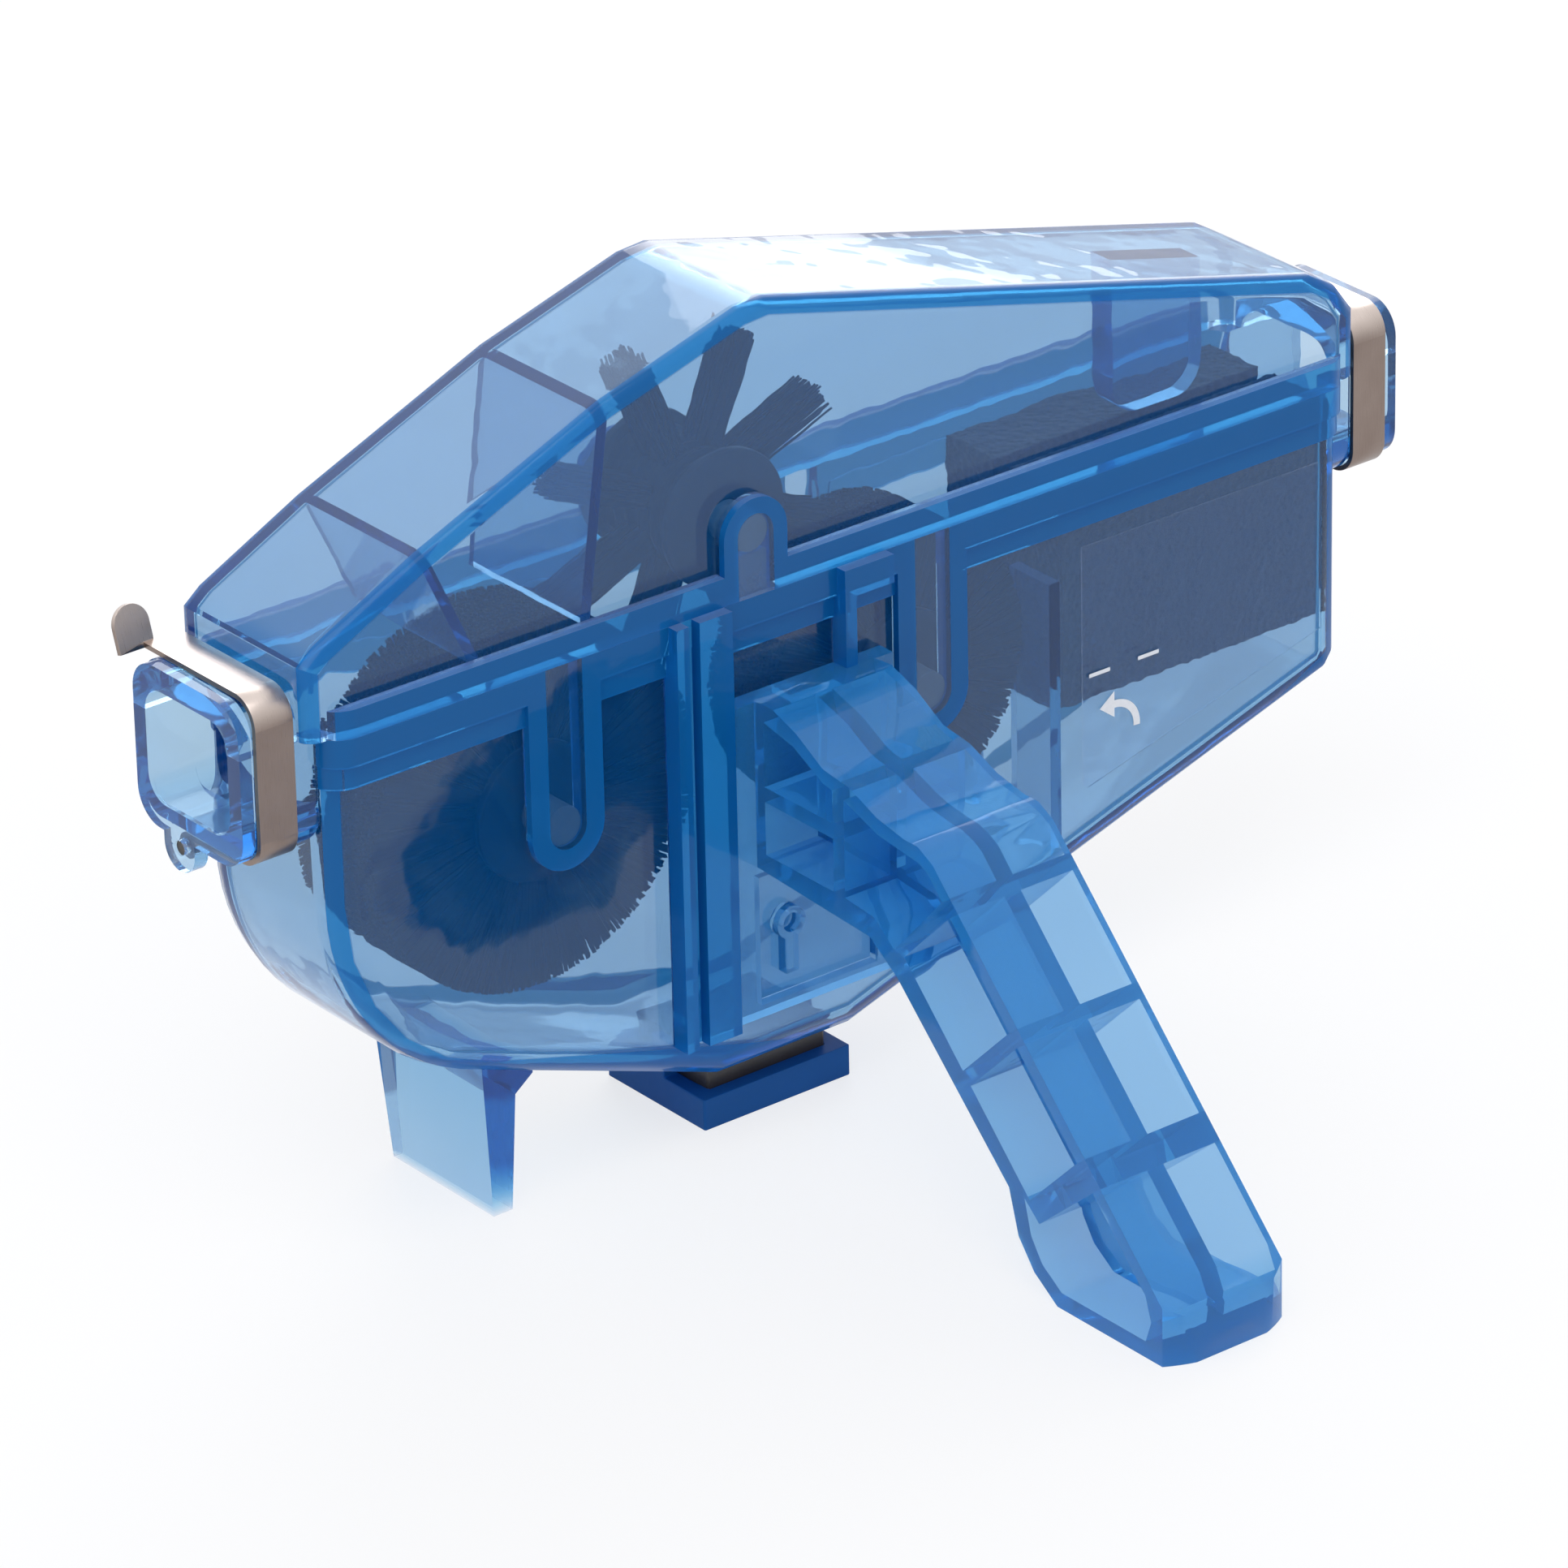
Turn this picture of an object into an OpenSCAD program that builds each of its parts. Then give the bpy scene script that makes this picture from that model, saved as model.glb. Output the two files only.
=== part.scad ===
// Bike chain cleaner: a clear reservoir with a lift off cover, bristle wheels, a sponge, strap latches and a grip.
// X runs along the chain, the grip side is -Y, +Z is up. The origin is the middle of the magnet tray's underside.

/* [Overall] */
// Distance between the two nozzle lips along the chain (mm)
overall_length = 212; // [206:1:216]
// Height of the plane where the cover meets the reservoir (mm)
parting_height = 85.5; // [85:0.1:86]
// Wall thickness of the clear mouldings (mm)
wall = 2; // [1.8:0.1:2.2]
// Which node to build

/* [Reservoir] */
// Half the width of the reservoir body (mm)
body_half_width = 15.5; // [15.3:0.1:15.8]
// Distance from the lip face back to the end wall of the reservoir (mm)
nozzle_length = 12.5; // [12:0.1:13]
// Height of the lowest part of the reservoir floor (mm)
belly_height = 9.5; // [9:0.1:10]
// Radius of the round front end around the front wheel (mm)
front_round_radius = 36; // [35.5:0.1:36.5]
// Fall of the floor behind the round front end (degrees)
front_floor_angle = 19.5; // [19:0.1:20]
// Rise of the floor towards the rear end (degrees)
rear_floor_angle = 17.2; // [17:0.1:17.5]
// X of the line where the rear floor starts to rise (mm)
rear_floor_start = 12; // [11:0.5:14]
// Radius of the long rounded edges (mm)
edge_radius = 4.5; // [4:0.1:5]
// How far the joint flange stands out from the reservoir wall (mm)
flange_out = 1.5; // [1.3:0.1:1.7]
// Height of each half of the joint flange (mm)
flange_height = 4.4; // [4:0.1:4.8]
// Height of the raised band under the flange (mm)
band_height = 3.6; // [3:0.1:4]
// Thickness of the foot plate at its base (mm)
foot_thickness = 3.4; // [3:0.1:4]
// Half the width of the foot plate at its base (mm)
foot_half_width = 12; // [11:0.5:12.5]
// Distance from the front wall back to the foot plate's middle (mm)
foot_back = 29.8; // [29:0.1:31]

/* [Cover] */
// Half the width of the cover body (mm)
cover_half_width = 15; // [14.8:0.1:15.2]
// Height of the highest ridge of the cover (mm)
ridge_height = 129.2; // [129:0.1:131]
// Radius of the cover's long rounded edges (mm)
cover_edge_radius = 2.6; // [2:0.1:3]
// Thickness of the two splash baffles inside the cover (mm)
baffle_thickness = 1.8; // [1.5:0.1:2.2]
// Length of the tongue that holds the sponge down, along the chain (mm)
tongue_length = 17.2; // [16:0.2:18]
// Thickness of that tongue (mm)
tongue_thickness = 4.4; // [4:0.2:5]

/* [Nozzles and latches] */
// Half the outer width of the nozzles (mm)
nozzle_half_width = 12.5; // [12.4:0.1:12.6]
// Depth of the nozzles below the joint (mm)
nozzle_depth = 17.5; // [17.3:0.1:17.7]
// Rise of the nozzles above the joint (mm)
nozzle_rise = 7.5; // [7.3:0.1:7.7]
// Thickness of the lip in front of the strap (mm)
lip_thickness = 2.3; // [2.2:0.1:2.5]
// Width of the spring steel strap (mm)
strap_width = 6.35; // [6.2:0.05:6.4]
// Thickness of the spring steel strap (mm)
strap_thickness = 0.8; // [0.7:0.1:0.9]
// Radius of the hinge pin under each nozzle (mm)
pin_radius = 1.1; // [1:0.05:1.2]
// Y of the hinge pin, beyond the middle plane (mm)
pin_side = 3; // [2.8:0.1:3.2]
// Depth of the hinge pin below the nozzle (mm)
pin_drop = 1.5; // [1.4:0.1:1.6]

/* [Bristle wheels] */
// Radius of the wheel axles (mm)
axle_radius = 3; // [2.9:0.1:3.1]
// Radius of the wheel hubs (mm)
hub_radius = 8.5; // [8:0.1:9]
// Half the length of the wheel hubs (mm)
hub_half_length = 9.5; // [9.3:0.1:10]
// Radius of the front lower wheel over its bristles (mm)
front_wheel_radius = 28; // [26:0.5:28.5]
// Radius of the rear lower wheel over its bristles (mm)
rear_wheel_radius = 23.5; // [22:0.5:24]
// Radius of the upper wheel over its tufts (mm)
upper_wheel_radius = 25.9; // [24:0.1:25.9]
// Side of one bristle bundle strand (mm)
strand_side = 0.9; // [0.7:0.05:1]
// Strands around each row of a lower wheel
lower_strand_count = 26; // [24:1:30]
// Tufts around the upper wheel
tuft_count = 8; // [6:1:9]
// Strands side by side in one tuft
tuft_strand_count = 4; // [3:1:5]

/* [Sponge] */
// Height of the sponge (mm)
sponge_height = 36; // [34:0.5:37]
// Width of the slit that takes the chain (mm)
slit_width = 3; // [2.6:0.1:3.4]
// Depth of that slit (mm)
slit_depth = 7.5; // [7:0.1:8]

/* [Grip] */
// Width of the grip along the chain direction (mm)
grip_width = 22; // [20:0.5:24]
// X of the middle of the grip (mm)
grip_place = 2.75; // [2:0.25:3.5]
// How far the grip reaches from the reservoir wall (mm)
grip_reach = 93.1; // [91:0.1:95]
// Height of the top of the grip (mm)
grip_top = 70.5; // [69:0.1:72]
// Slope of the grip's straight stretch (degrees)
grip_slope = 45.6; // [45.2:0.1:46]
// Wall of the grip around its pockets (mm)
grip_wall = 2.2; // [2:0.1:2.4]
// Thickness of the web in the middle of the grip (mm)
grip_web = 3; // [2.4:0.1:4]
// Length of each pocket along the grip (mm)
pocket_length = 18.2; // [17.6:0.1:18.6]
// Thickness of the plate that slides into the rails (mm)
plate_thickness = 3; // [2.8:0.1:3.2]

/* [Magnet] */
// Half the length of the magnet (mm)
magnet_half_length = 10.9; // [10:0.1:11]
// Half the width of the magnet (mm)
magnet_half_width = 9; // [8:0.1:9]
// Half the length of the magnet tray (mm)
tray_half_length = 13.6; // [13.4:0.1:14]
// Half the width of the magnet tray (mm)
tray_half_width = 11.5; // [11.2:0.1:12]
// Height of the magnet tray (mm)
tray_height = 5; // [4.5:0.1:5.5]

/* [Hidden] */
// colours
clear_blue = [0.10, 0.42, 0.80, 0.45];
tray_blue = [0.04, 0.25, 0.62];
magnet_dark = [0.20, 0.17, 0.15];
strap_steel = [0.72, 0.66, 0.60];
pin_steel = [0.35, 0.34, 0.32];
label_dark = [0.10, 0.14, 0.26];
foam_dark = [0.13, 0.14, 0.17];
axle_grey = [0.30, 0.30, 0.31];
hub_dark = [0.08, 0.09, 0.11];
nylon_dark = [0.06, 0.07, 0.09];
// plain counts, angles and shares
half_share = 0.5;
right_angle = 90;
full_turn = 360;
facets = 64;
fillet_steps = 3;
sides = [-1, 1];
overlap = 0.05;
far_out = 300;
// running and resting gaps
axle_fit = 0.05;
pin_fit = 0.06;
hub_fit = 0.02;
rest_gap = 0.3;
slide_gap = 0.15;
// places along the chain
middle = 13;
end_reach = overall_length * half_share;
body_reach = end_reach - nozzle_length;
cover_overhang = 2.8;
cover_reach = body_reach + cover_overhang;
body_front = middle - body_reach;
body_rear = middle + body_reach;
cover_front = middle - cover_reach;
cover_rear = middle + cover_reach;
inner_half_width = body_half_width - wall;
// round front end and rear corner of the reservoir
front_round_lift = 49.5;
front_round_place = body_front + front_round_radius;
front_round_height = belly_height + front_round_lift;
rear_corner_angle = 55;
rear_corner_drop = 44.5;
rear_corner_height = parting_height - rear_corner_drop;
// cover outline in shares of its length and of its rise above the joint, from the front foot to the rear foot
cover_rise = ridge_height - parting_height;
cover_length = cover_rear - cover_front;
cover_shares = [
    [0, 0.263], [0.0156, 0.318], [0.1054, 0.515], [0.2741, 0.824], [0.4013, 0.991],
    [0.4273, 1], [0.9569, 0.412], [0.9829, 0.343], [1, 0.240]];
cover_steps = [for (p = cover_shares) [cover_front + p[0] * cover_length, parting_height + p[1] * cover_rise]];
// feet of the two baffles, each hung from a fold of the cover
ramp_fold = cover_steps[2];
top_fold = cover_steps[3];
baffle_clearance = 3.5;
ramp_baffle_run = 8.5;
top_baffle_run = 4.5;
// tongue over the sponge
tongue_back = 17.5;
tongue_corner = 5;
tongue_lift = 1.8;
// nozzles, with the chain passage through them
nozzle_bottom = parting_height - nozzle_depth;
nozzle_top = parting_height + nozzle_rise;
lip_corner = 5;
passage_wall = 2.8;
passage_floor = 4;
passage_roof = 3.5;
passage_corner = 4;
passage_half_width = nozzle_half_width - passage_wall;
// strap channel, swept by the strap around its pin
pin_height = nozzle_bottom - pin_drop;
strap_gap = 0.25;
strap_front_edge = end_reach - lip_thickness - strap_gap;
strap_back_edge = strap_front_edge - strap_width;
channel_front = end_reach - lip_thickness;
channel_back = strap_back_edge - strap_gap;
floor_side_drop = 0.5;
floor_bottom_lift = 0.9;
sweep_radius = nozzle_top - pin_height - rest_gap;
strap_side_drop = 0.2;
strap_bend = 4.5;
strap_eye = pin_radius + pin_fit + strap_thickness;
strap_low = pin_height + strap_eye;
strap_side = nozzle_half_width - strap_side_drop;
strap_end = nozzle_half_width + rest_gap + strap_thickness;
tab_width = 5.8;
tab_height = 6.6;
tab_lean = 18;
tab_shift = 1.8;
boss_radius = 3.6;
pin_end_gap = 0.1;
// wheels, placed as [X, Z]
front_wheel_back = 40;
rear_wheel_back = 13;
upper_wheel_behind = 24.5083;
lower_wheel_drop = 25.5;
upper_wheel_lift_share = 0.217391;
upper_reach_share = 0.593;
upper_wheel_lift = cover_rise * upper_wheel_lift_share;
upper_reach = min(upper_wheel_radius, cover_rise * upper_reach_share);
front_wheel = [body_front + front_wheel_back, parting_height - lower_wheel_drop];
rear_wheel = [middle + rear_wheel_back, parting_height - lower_wheel_drop];
upper_wheel = [top_fold[0] + upper_wheel_behind, parting_height + upper_wheel_lift];
// walls of the slot bearings and of the arches over the upper axle
bearing_wall = 3.4;
arch_wall = 2.7;
bearing_radius = axle_radius + bearing_wall;
arch_radius = axle_radius + arch_wall;
arch_reach = body_half_width + flange_out;
arch_skin = 1.4;
pocket_reach = arch_reach - arch_skin;
axle_half_length = pocket_reach - rest_gap;
// rows of strands, staggered so that wheels that mesh never touch
lower_rows_shares = [-0.79, -0.263, 0.263, 0.79];
upper_rows_shares = [-0.126, 0, 0.126];
cheek_rise = 2.1;
cheek_radius = hub_radius + cheek_rise;
cheek_thickness = 1.4;
sleeve_thickness = 1.6;
sleeve_sink = 1;
sleeve_inner = hub_radius - sleeve_sink;
sleeve_outer = sleeve_inner + sleeve_thickness;
tuft_spacing = 0.25;
tuft_pitch = strand_side + tuft_spacing;
// fins that keep the sponge away from the rear wheel
fin_gap = 0.5;
fin_inset = 9;
fin_lift = 14.5;
fin_drop = 16.5;
fin_front = rear_wheel[0] + rear_wheel_radius + fin_gap;
fin_rear = fin_front + wall;
// sponge
sponge_drop = 2;
sponge_corner = 2.5;
sponge_front = fin_rear + rest_gap;
sponge_rear = body_rear - wall - slide_gap - rest_gap;
sponge_top = parting_height - sponge_drop;
sponge_bottom = sponge_top - sponge_height;
// rails that hold the plate of the grip
rail_proud = 0.4;
rail_out = plate_thickness + rail_proud;
rail_lift = 8.9;
rail_bottom = belly_height + rail_lift;
plate_half_length = 14.55;
plate_front = grip_place - plate_half_length;
plate_rear = grip_place + plate_half_length;
plate_lift = 10;
plate_bottom = belly_height + plate_lift;
plate_drop = 0.5;
plate_top = grip_top - plate_drop;
front_rail_length = 10;
front_rail_rear = plate_front - slide_gap;
front_rail_front = front_rail_rear - front_rail_length;
front_groove_place = 2.2;
front_groove_width = 1.9;
rear_rail_length = 4;
rear_rail_drop = 25.5;
clip_length = 7;
clip_wall = 2;
// window in the plate and the small loop in it
window_top_drop = 28;
window_side = 3.8;
window_skin = 1.2;
loop_drop = 37;
loop_place = 9.6;
loop_radius = 2.6;
loop_hole = 1.5;
loop_tail = 8;
// foot plate
foot_place = body_front + foot_back;
foot_flare = 1.2;
foot_gusset = 3.2;
foot_gusset_drop = 4.4;
foot_root_drop = 2.4;
foot_spread = 2.4;
foot_root = front_round_height - front_round_radius + wall + overlap;
// grip outline in shares of its reach from the wall and of its height
grip_shares = [
    [0, 0.993], [0.0752, 1], [0.1343, 0.973], [0.1987, 0.9248], [0.2632, 0.9135], [0.3276, 0.8794],
    [0.3921, 0.8638], [0.4243, 0.8638], [0.4597, 0.8397], [0.4941, 0.7929], [1, 0.1106], [1.0193, 0.0567],
    [1.0075, 0], [0.7422, 0], [0.6885, 0.0482], [0.652, 0.1106], [0.6305, 0.2099],
    [0.3706, 0.5433], [0.3061, 0.6028], [0, 0.6241]];
grip_bend_share = [0.4941, 0.7929];
tip_sagitta = 3.1;
tip_edge_share = 0.985;
// pockets of the grip: the straight ones start at these distances from the bend
pocket_rib = 2.4;
pocket_first = 2.8;
pocket_depth = 14.4;
tip_pocket_shares = [
    [0.826, 0.3021], [0.9463, 0.139], [0.9592, 0.0851], [0.9463, 0.0369], [0.753, 0.0369],
    [0.7079, 0.0766], [0.6821, 0.1277], [0.667, 0.2043], [0.7014, 0.1645]];
knuckle_pocket_shares = [
    [0.247, 0.8794], [0.3276, 0.8426], [0.4243, 0.8284], [0.4479, 0.8142], [0.4801, 0.7688],
    [0.3641, 0.6043], [0.3169, 0.6525], [0.247, 0.661]];
root_pocket_shares = [
    [0.0548, 0.9589], [0.1278, 0.939], [0.1987, 0.8922], [0.2202, 0.8879], [0.2202, 0.8142], [0.0548, 0.8142]];
root_low_pocket_shares = [[0.0548, 0.7801], [0.2202, 0.7801], [0.2202, 0.661], [0.0548, 0.661]];
// label in shares of its length and height
label_thickness = 0.3;
label_length = 46.6;
label_height = 39.2;
label_back = 4.9;
label_drop = 11.5;
label_shares = [[0, 1], [0.987, 1], [1, 0.985], [1, 0.306], [0.0215, 0], [0, 0.0153]];
// magnet tray
tray_ear_gap = 0.4;

// shared helpers

module along_x(from_x, to_x) {
    translate([from_x, 0, 0]) rotate([right_angle, 0, right_angle]) linear_extrude(to_x - from_x) children();
}

module along_y(from_y, to_y) {
    translate([0, to_y, 0]) rotate([right_angle, 0, 0]) linear_extrude(to_y - from_y) children();
}

module span(low, high) {
    translate(low) cube(high - low);
}

module span_2d(low, high) {
    translate(low) square(high - low);
}

module round_span_2d(low, high, r) {
    span_2d([low[0] + r, low[1]], [high[0] - r, high[1]]);
    span_2d([low[0], low[1] + r], [high[0], high[1] - r]);
    for (x = [low[0] + r, high[0] - r])
        for (y = [low[1] + r, high[1] - r])
            translate([x, y]) circle(r = r, $fn = facets);
}

module at_both_ends() {
    at_rear() children();
    at_front() children();
}

module at_front() {
    translate([middle, 0, 0]) mirror([1, 0, 0]) children();
}

module at_rear() {
    translate([middle, 0, 0]) children();
}

module on_both_sides() {
    children();
    mirror([0, 1, 0]) children();
}

module below_parting() {
    intersection() {
        children();
        span([-far_out, -far_out, -far_out], [far_out, far_out, parting_height]);
    }
}

module above_parting() {
    intersection() {
        children();
        span([-far_out, -far_out, parting_height], [far_out, far_out, far_out]);
    }
}

// reservoir body: outlines stacked along Y, so that its long edges come out round

module tank_outline(inset) {
    intersection() {
        span_2d([body_front + inset, belly_height + inset], [body_rear - inset, parting_height + wall]);
        union() {
            translate([front_round_place, front_round_height]) circle(r = front_round_radius - inset, $fn = facets);
            span_2d([front_round_place, 0], [far_out, far_out]);
            span_2d([-far_out, front_round_height], [far_out, far_out]);
        }
        translate([front_round_place, front_round_height]) rotate(-front_floor_angle)
            span_2d([-far_out, inset - front_round_radius], [far_out, far_out]);
        translate([rear_floor_start, belly_height]) rotate(rear_floor_angle)
            span_2d([-far_out, inset], [far_out, far_out]);
        translate([body_rear, rear_corner_height]) rotate(rear_corner_angle)
            span_2d([-far_out, inset], [far_out, far_out]);
    }
}

module tank_block(inset) {
    r = edge_radius - inset * half_share;
    hull() for (k = [0:fillet_steps]) {
        a = right_angle * k / fillet_steps;
        reach = body_half_width - inset - r + r * sin(a);
        along_y(-reach, reach) tank_outline(inset + r - r * cos(a));
    }
}

module joint_plate(low, high, out) {
    reach = body_half_width + out;
    translate([0, 0, low]) linear_extrude(high - low)
        round_span_2d([body_front, -reach], [body_rear, reach], edge_radius);
}

// nozzle with its strap channel, drawn at the rear end around the middle

module nozzle_section() {
    round_span_2d([-nozzle_half_width, nozzle_bottom], [nozzle_half_width, nozzle_top], lip_corner);
}

module channel_section() {
    intersection() {
        round_span_2d([floor_side_drop - nozzle_half_width, nozzle_bottom + floor_bottom_lift],
            [nozzle_half_width, nozzle_top - rest_gap], strap_bend - strap_thickness);
        union() {
            translate([pin_side, pin_height]) circle(r = sweep_radius, $fn = facets);
            span_2d([pin_side, 0], [far_out, far_out]);
        }
    }
}

module boss_section() {
    translate([pin_side, pin_height]) circle(r = boss_radius, $fn = facets);
    span_2d([pin_side - boss_radius, pin_height], [pin_side + boss_radius, nozzle_bottom + wall]);
}

module nozzle_solid() {
    along_x(channel_front, end_reach) nozzle_section();
    along_x(channel_back - overlap, channel_front + overlap) channel_section();
    along_x(body_reach - wall, channel_back) nozzle_section();
}

module nozzle_bosses() {
    along_x(channel_front, end_reach) boss_section();
    along_x(body_reach - wall, channel_back) boss_section();
}

module nozzle_passage() {
    along_x(body_reach - wall - wall, end_reach + wall)
        round_span_2d([-passage_half_width, nozzle_bottom + passage_floor],
            [passage_half_width, nozzle_top - passage_roof], passage_corner);
}

module pin_bore() {
    translate([body_reach - wall + overlap, pin_side, pin_height]) rotate([0, right_angle, 0])
        cylinder(h = nozzle_length + wall + wall, r = pin_radius + axle_fit, $fn = facets);
}

// slot bearings that stand out of the walls, each with a pocket for an axle end

module slot_boss(place) {
    translate([place[0], 0, place[1]]) along_y(-arch_reach, arch_reach) {
        circle(r = bearing_radius, $fn = facets);
        span_2d([-bearing_radius, 0], [bearing_radius, parting_height - wall - place[1]]);
    }
}

module slot_pocket(place) {
    r = axle_radius + axle_fit;
    translate([place[0], 0, place[1]]) along_y(-pocket_reach, pocket_reach) {
        circle(r = r, $fn = facets);
        span_2d([-r, 0], [r, far_out]);
    }
}

module grip_rails() {
    face = -body_half_width;
    out = face - rail_out;
    difference() {
        span([front_rail_front, out, rail_bottom], [front_rail_rear, face + overlap, parting_height]);
        span([front_rail_front + front_groove_place, out - wall, rail_bottom - wall],
            [front_rail_front + front_groove_place + front_groove_width, out + wall, parting_height + wall]);
    }
    rear_rail_front = plate_rear + slide_gap;
    span([rear_rail_front, out, rail_bottom + wall],
        [rear_rail_front + rear_rail_length, face + overlap, parting_height - rear_rail_drop]);
    span([rear_rail_front - clip_length, out, parting_height - flange_height],
        [rear_rail_front, face + overlap, parting_height]);
    span([rear_rail_front - clip_length - clip_wall, out, plate_top + rest_gap],
        [rear_rail_front - clip_length + overlap, face + overlap, parting_height]);
}

module foot() {
    lean = foot_thickness * half_share;
    gusset = foot_place + lean + foot_flare + foot_gusset;
    low = foot_root - foot_gusset_drop - foot_root_drop;
    high = foot_root - foot_gusset_drop;
    intersection() {
        along_y(-body_half_width, body_half_width) polygon([
            [foot_place - lean, 0], [foot_place + lean, 0], [foot_place + lean + foot_flare, low],
            [gusset, high], [gusset, foot_root], [foot_place - lean - foot_flare, foot_root]]);
        along_x(foot_place - far_out, foot_place + far_out) polygon([
            [-foot_half_width, 0], [foot_half_width, 0], [foot_half_width + foot_spread, foot_root],
            [-foot_half_width, foot_root]]);
    }
}

module sponge_fins() {
    on_both_sides() span([fin_front, inner_half_width - fin_inset, belly_height + fin_lift],
        [fin_rear, inner_half_width + overlap, parting_height - fin_drop]);
}

// posts that carry the upper axle from below, inside the arches of the cover

module axle_posts() {
    half = axle_radius - rest_gap;
    on_both_sides() span([upper_wheel[0] - half, inner_half_width, parting_height - overlap],
        [upper_wheel[0] + half, pocket_reach - rest_gap, upper_wheel[1] - axle_radius - rest_gap]);
}

module tank() {
    color(clear_blue) {
        difference() {
            union() {
                below_parting() tank_block(0);
                joint_plate(parting_height - flange_height, parting_height, flange_out);
                joint_plate(parting_height - flange_height - band_height, parting_height - flange_height + overlap,
                    flange_out * half_share);
                below_parting() at_both_ends() nozzle_solid();
                at_both_ends() nozzle_bosses();
                grip_rails();
                foot();
                slot_boss(front_wheel);
                slot_boss(rear_wheel);
            }
            tank_block(wall);
            at_both_ends() nozzle_passage();
            at_both_ends() pin_bore();
            slot_pocket(front_wheel);
            slot_pocket(rear_wheel);
        }
        intersection() {
            sponge_fins();
            tank_block(wall - overlap);
        }
        axle_posts();
    }
}

// cover

module cover_cut(k, inset) {
    from = cover_steps[k];
    to = cover_steps[k + 1];
    translate(from) rotate(atan2(to[1] - from[1], to[0] - from[0]))
        span_2d([-far_out, -far_out], [far_out, -inset]);
}

module cover_outline(inset) {
    intersection() {
        span_2d([cover_front + inset, parting_height - wall], [cover_rear - inset, ridge_height - inset]);
        intersection_for(k = [0:len(cover_steps) - 2]) cover_cut(k, inset);
    }
}

module cover_block(inset) {
    r = cover_edge_radius - inset * half_share;
    hull() for (k = [0:fillet_steps]) {
        a = right_angle * k / fillet_steps;
        reach = cover_half_width - inset - r + r * sin(a);
        along_y(-reach, reach) cover_outline(inset + r - r * cos(a));
    }
}

module axle_arch() {
    translate([upper_wheel[0], 0, upper_wheel[1]]) on_both_sides()
        along_y(cover_half_width - wall, arch_reach) {
            circle(r = arch_radius, $fn = facets);
            span_2d([-arch_radius, -upper_wheel_lift], [arch_radius, 0]);
        }
}

module axle_arch_pocket() {
    r = axle_radius + axle_fit;
    translate([upper_wheel[0], 0, upper_wheel[1]]) along_y(-pocket_reach, pocket_reach) {
        circle(r = r, $fn = facets);
        span_2d([-r, -far_out], [r, 0]);
    }
}

// a baffle hangs from a fold of the cover and ends over the joint

module baffle(fold, run) {
    foot_height = parting_height + baffle_clearance;
    inner = cover_half_width - wall + overlap;
    along_y(-inner, inner) polygon([
        fold, [fold[0] + run, foot_height], [fold[0] + run + baffle_thickness, foot_height],
        [fold[0] + baffle_thickness, fold[1]]]);
}

module tongue() {
    half = tongue_thickness * half_share;
    rear = body_rear - tongue_back;
    low = sponge_top + tongue_lift;
    along_y(-half, half) round_span_2d([rear - tongue_length, low], [rear, ridge_height], tongue_corner);
}

module cover() {
    color(clear_blue) {
        difference() {
            union() {
                above_parting() cover_block(0);
                joint_plate(parting_height, parting_height + flange_height, flange_out);
                above_parting() at_both_ends() nozzle_solid();
                axle_arch();
            }
            cover_block(wall);
            at_both_ends() nozzle_passage();
            axle_arch_pocket();
        }
        intersection() {
            union() {
                baffle(ramp_fold, ramp_baffle_run);
                baffle(top_fold, -top_baffle_run);
                tongue();
            }
            cover_block(wall - overlap);
        }
    }
}

// grip

module from_shares(shares) {
    polygon([for (p = shares) [-body_half_width - p[0] * grip_reach, p[1] * grip_top]]);
}

module grip_tip_plan() {
    half = grip_width * half_share;
    r = (half * half + tip_sagitta * tip_sagitta) / (tip_sagitta + tip_sagitta);
    edge = -body_half_width - grip_reach * tip_edge_share;
    intersection() {
        translate([grip_place, edge - tip_sagitta + r]) circle(r = r, $fn = facets);
        span_2d([-far_out, -far_out], [far_out, edge + overlap]);
    }
    span_2d([grip_place - half, edge], [grip_place + half, 0]);
}

module grip_core(low, high) {
    bend = [0, -body_half_width - grip_bend_share[0] * grip_reach, grip_bend_share[1] * grip_top];
    for (k = [0, 1]) {
        start = pocket_first + k * (pocket_length + pocket_rib);
        translate(bend) rotate([grip_slope, 0, 0])
            span([low, -start - pocket_length, -pocket_depth - grip_wall], [high, -start, -grip_wall]);
    }
    for (shares = [tip_pocket_shares, knuckle_pocket_shares, root_pocket_shares, root_low_pocket_shares])
        along_x(low, high) from_shares(shares);
}

module plate_window() {
    outer = -body_half_width - plate_thickness;
    span([plate_front + window_side, outer - wall, plate_bottom + wall],
        [plate_rear - window_side, -body_half_width - window_skin, plate_top - window_top_drop]);
}

module plate_loop() {
    width = loop_radius - loop_hole + overlap;
    translate([plate_front + loop_place, 0, plate_top - loop_drop])
        along_y(-body_half_width - plate_thickness, -body_half_width - overlap) difference() {
            union() {
                circle(r = loop_radius, $fn = facets);
                span_2d([-width, -loop_tail], [width, 0]);
            }
            circle(r = loop_hole, $fn = facets);
        }
}

module handle() {
    half = grip_width * half_share;
    color(clear_blue) {
        difference() {
            union() {
                intersection() {
                    along_x(grip_place - half, grip_place + half) from_shares(grip_shares);
                    linear_extrude(grip_top + wall) grip_tip_plan();
                }
                span([plate_front, -body_half_width - plate_thickness, plate_bottom],
                    [plate_rear, -body_half_width, plate_top]);
            }
            grip_core(grip_place - grip_width, grip_place - grip_web * half_share);
            grip_core(grip_place + grip_web * half_share, grip_place + grip_width);
            plate_window();
        }
        plate_loop();
    }
}

// magnet and its tray

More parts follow.
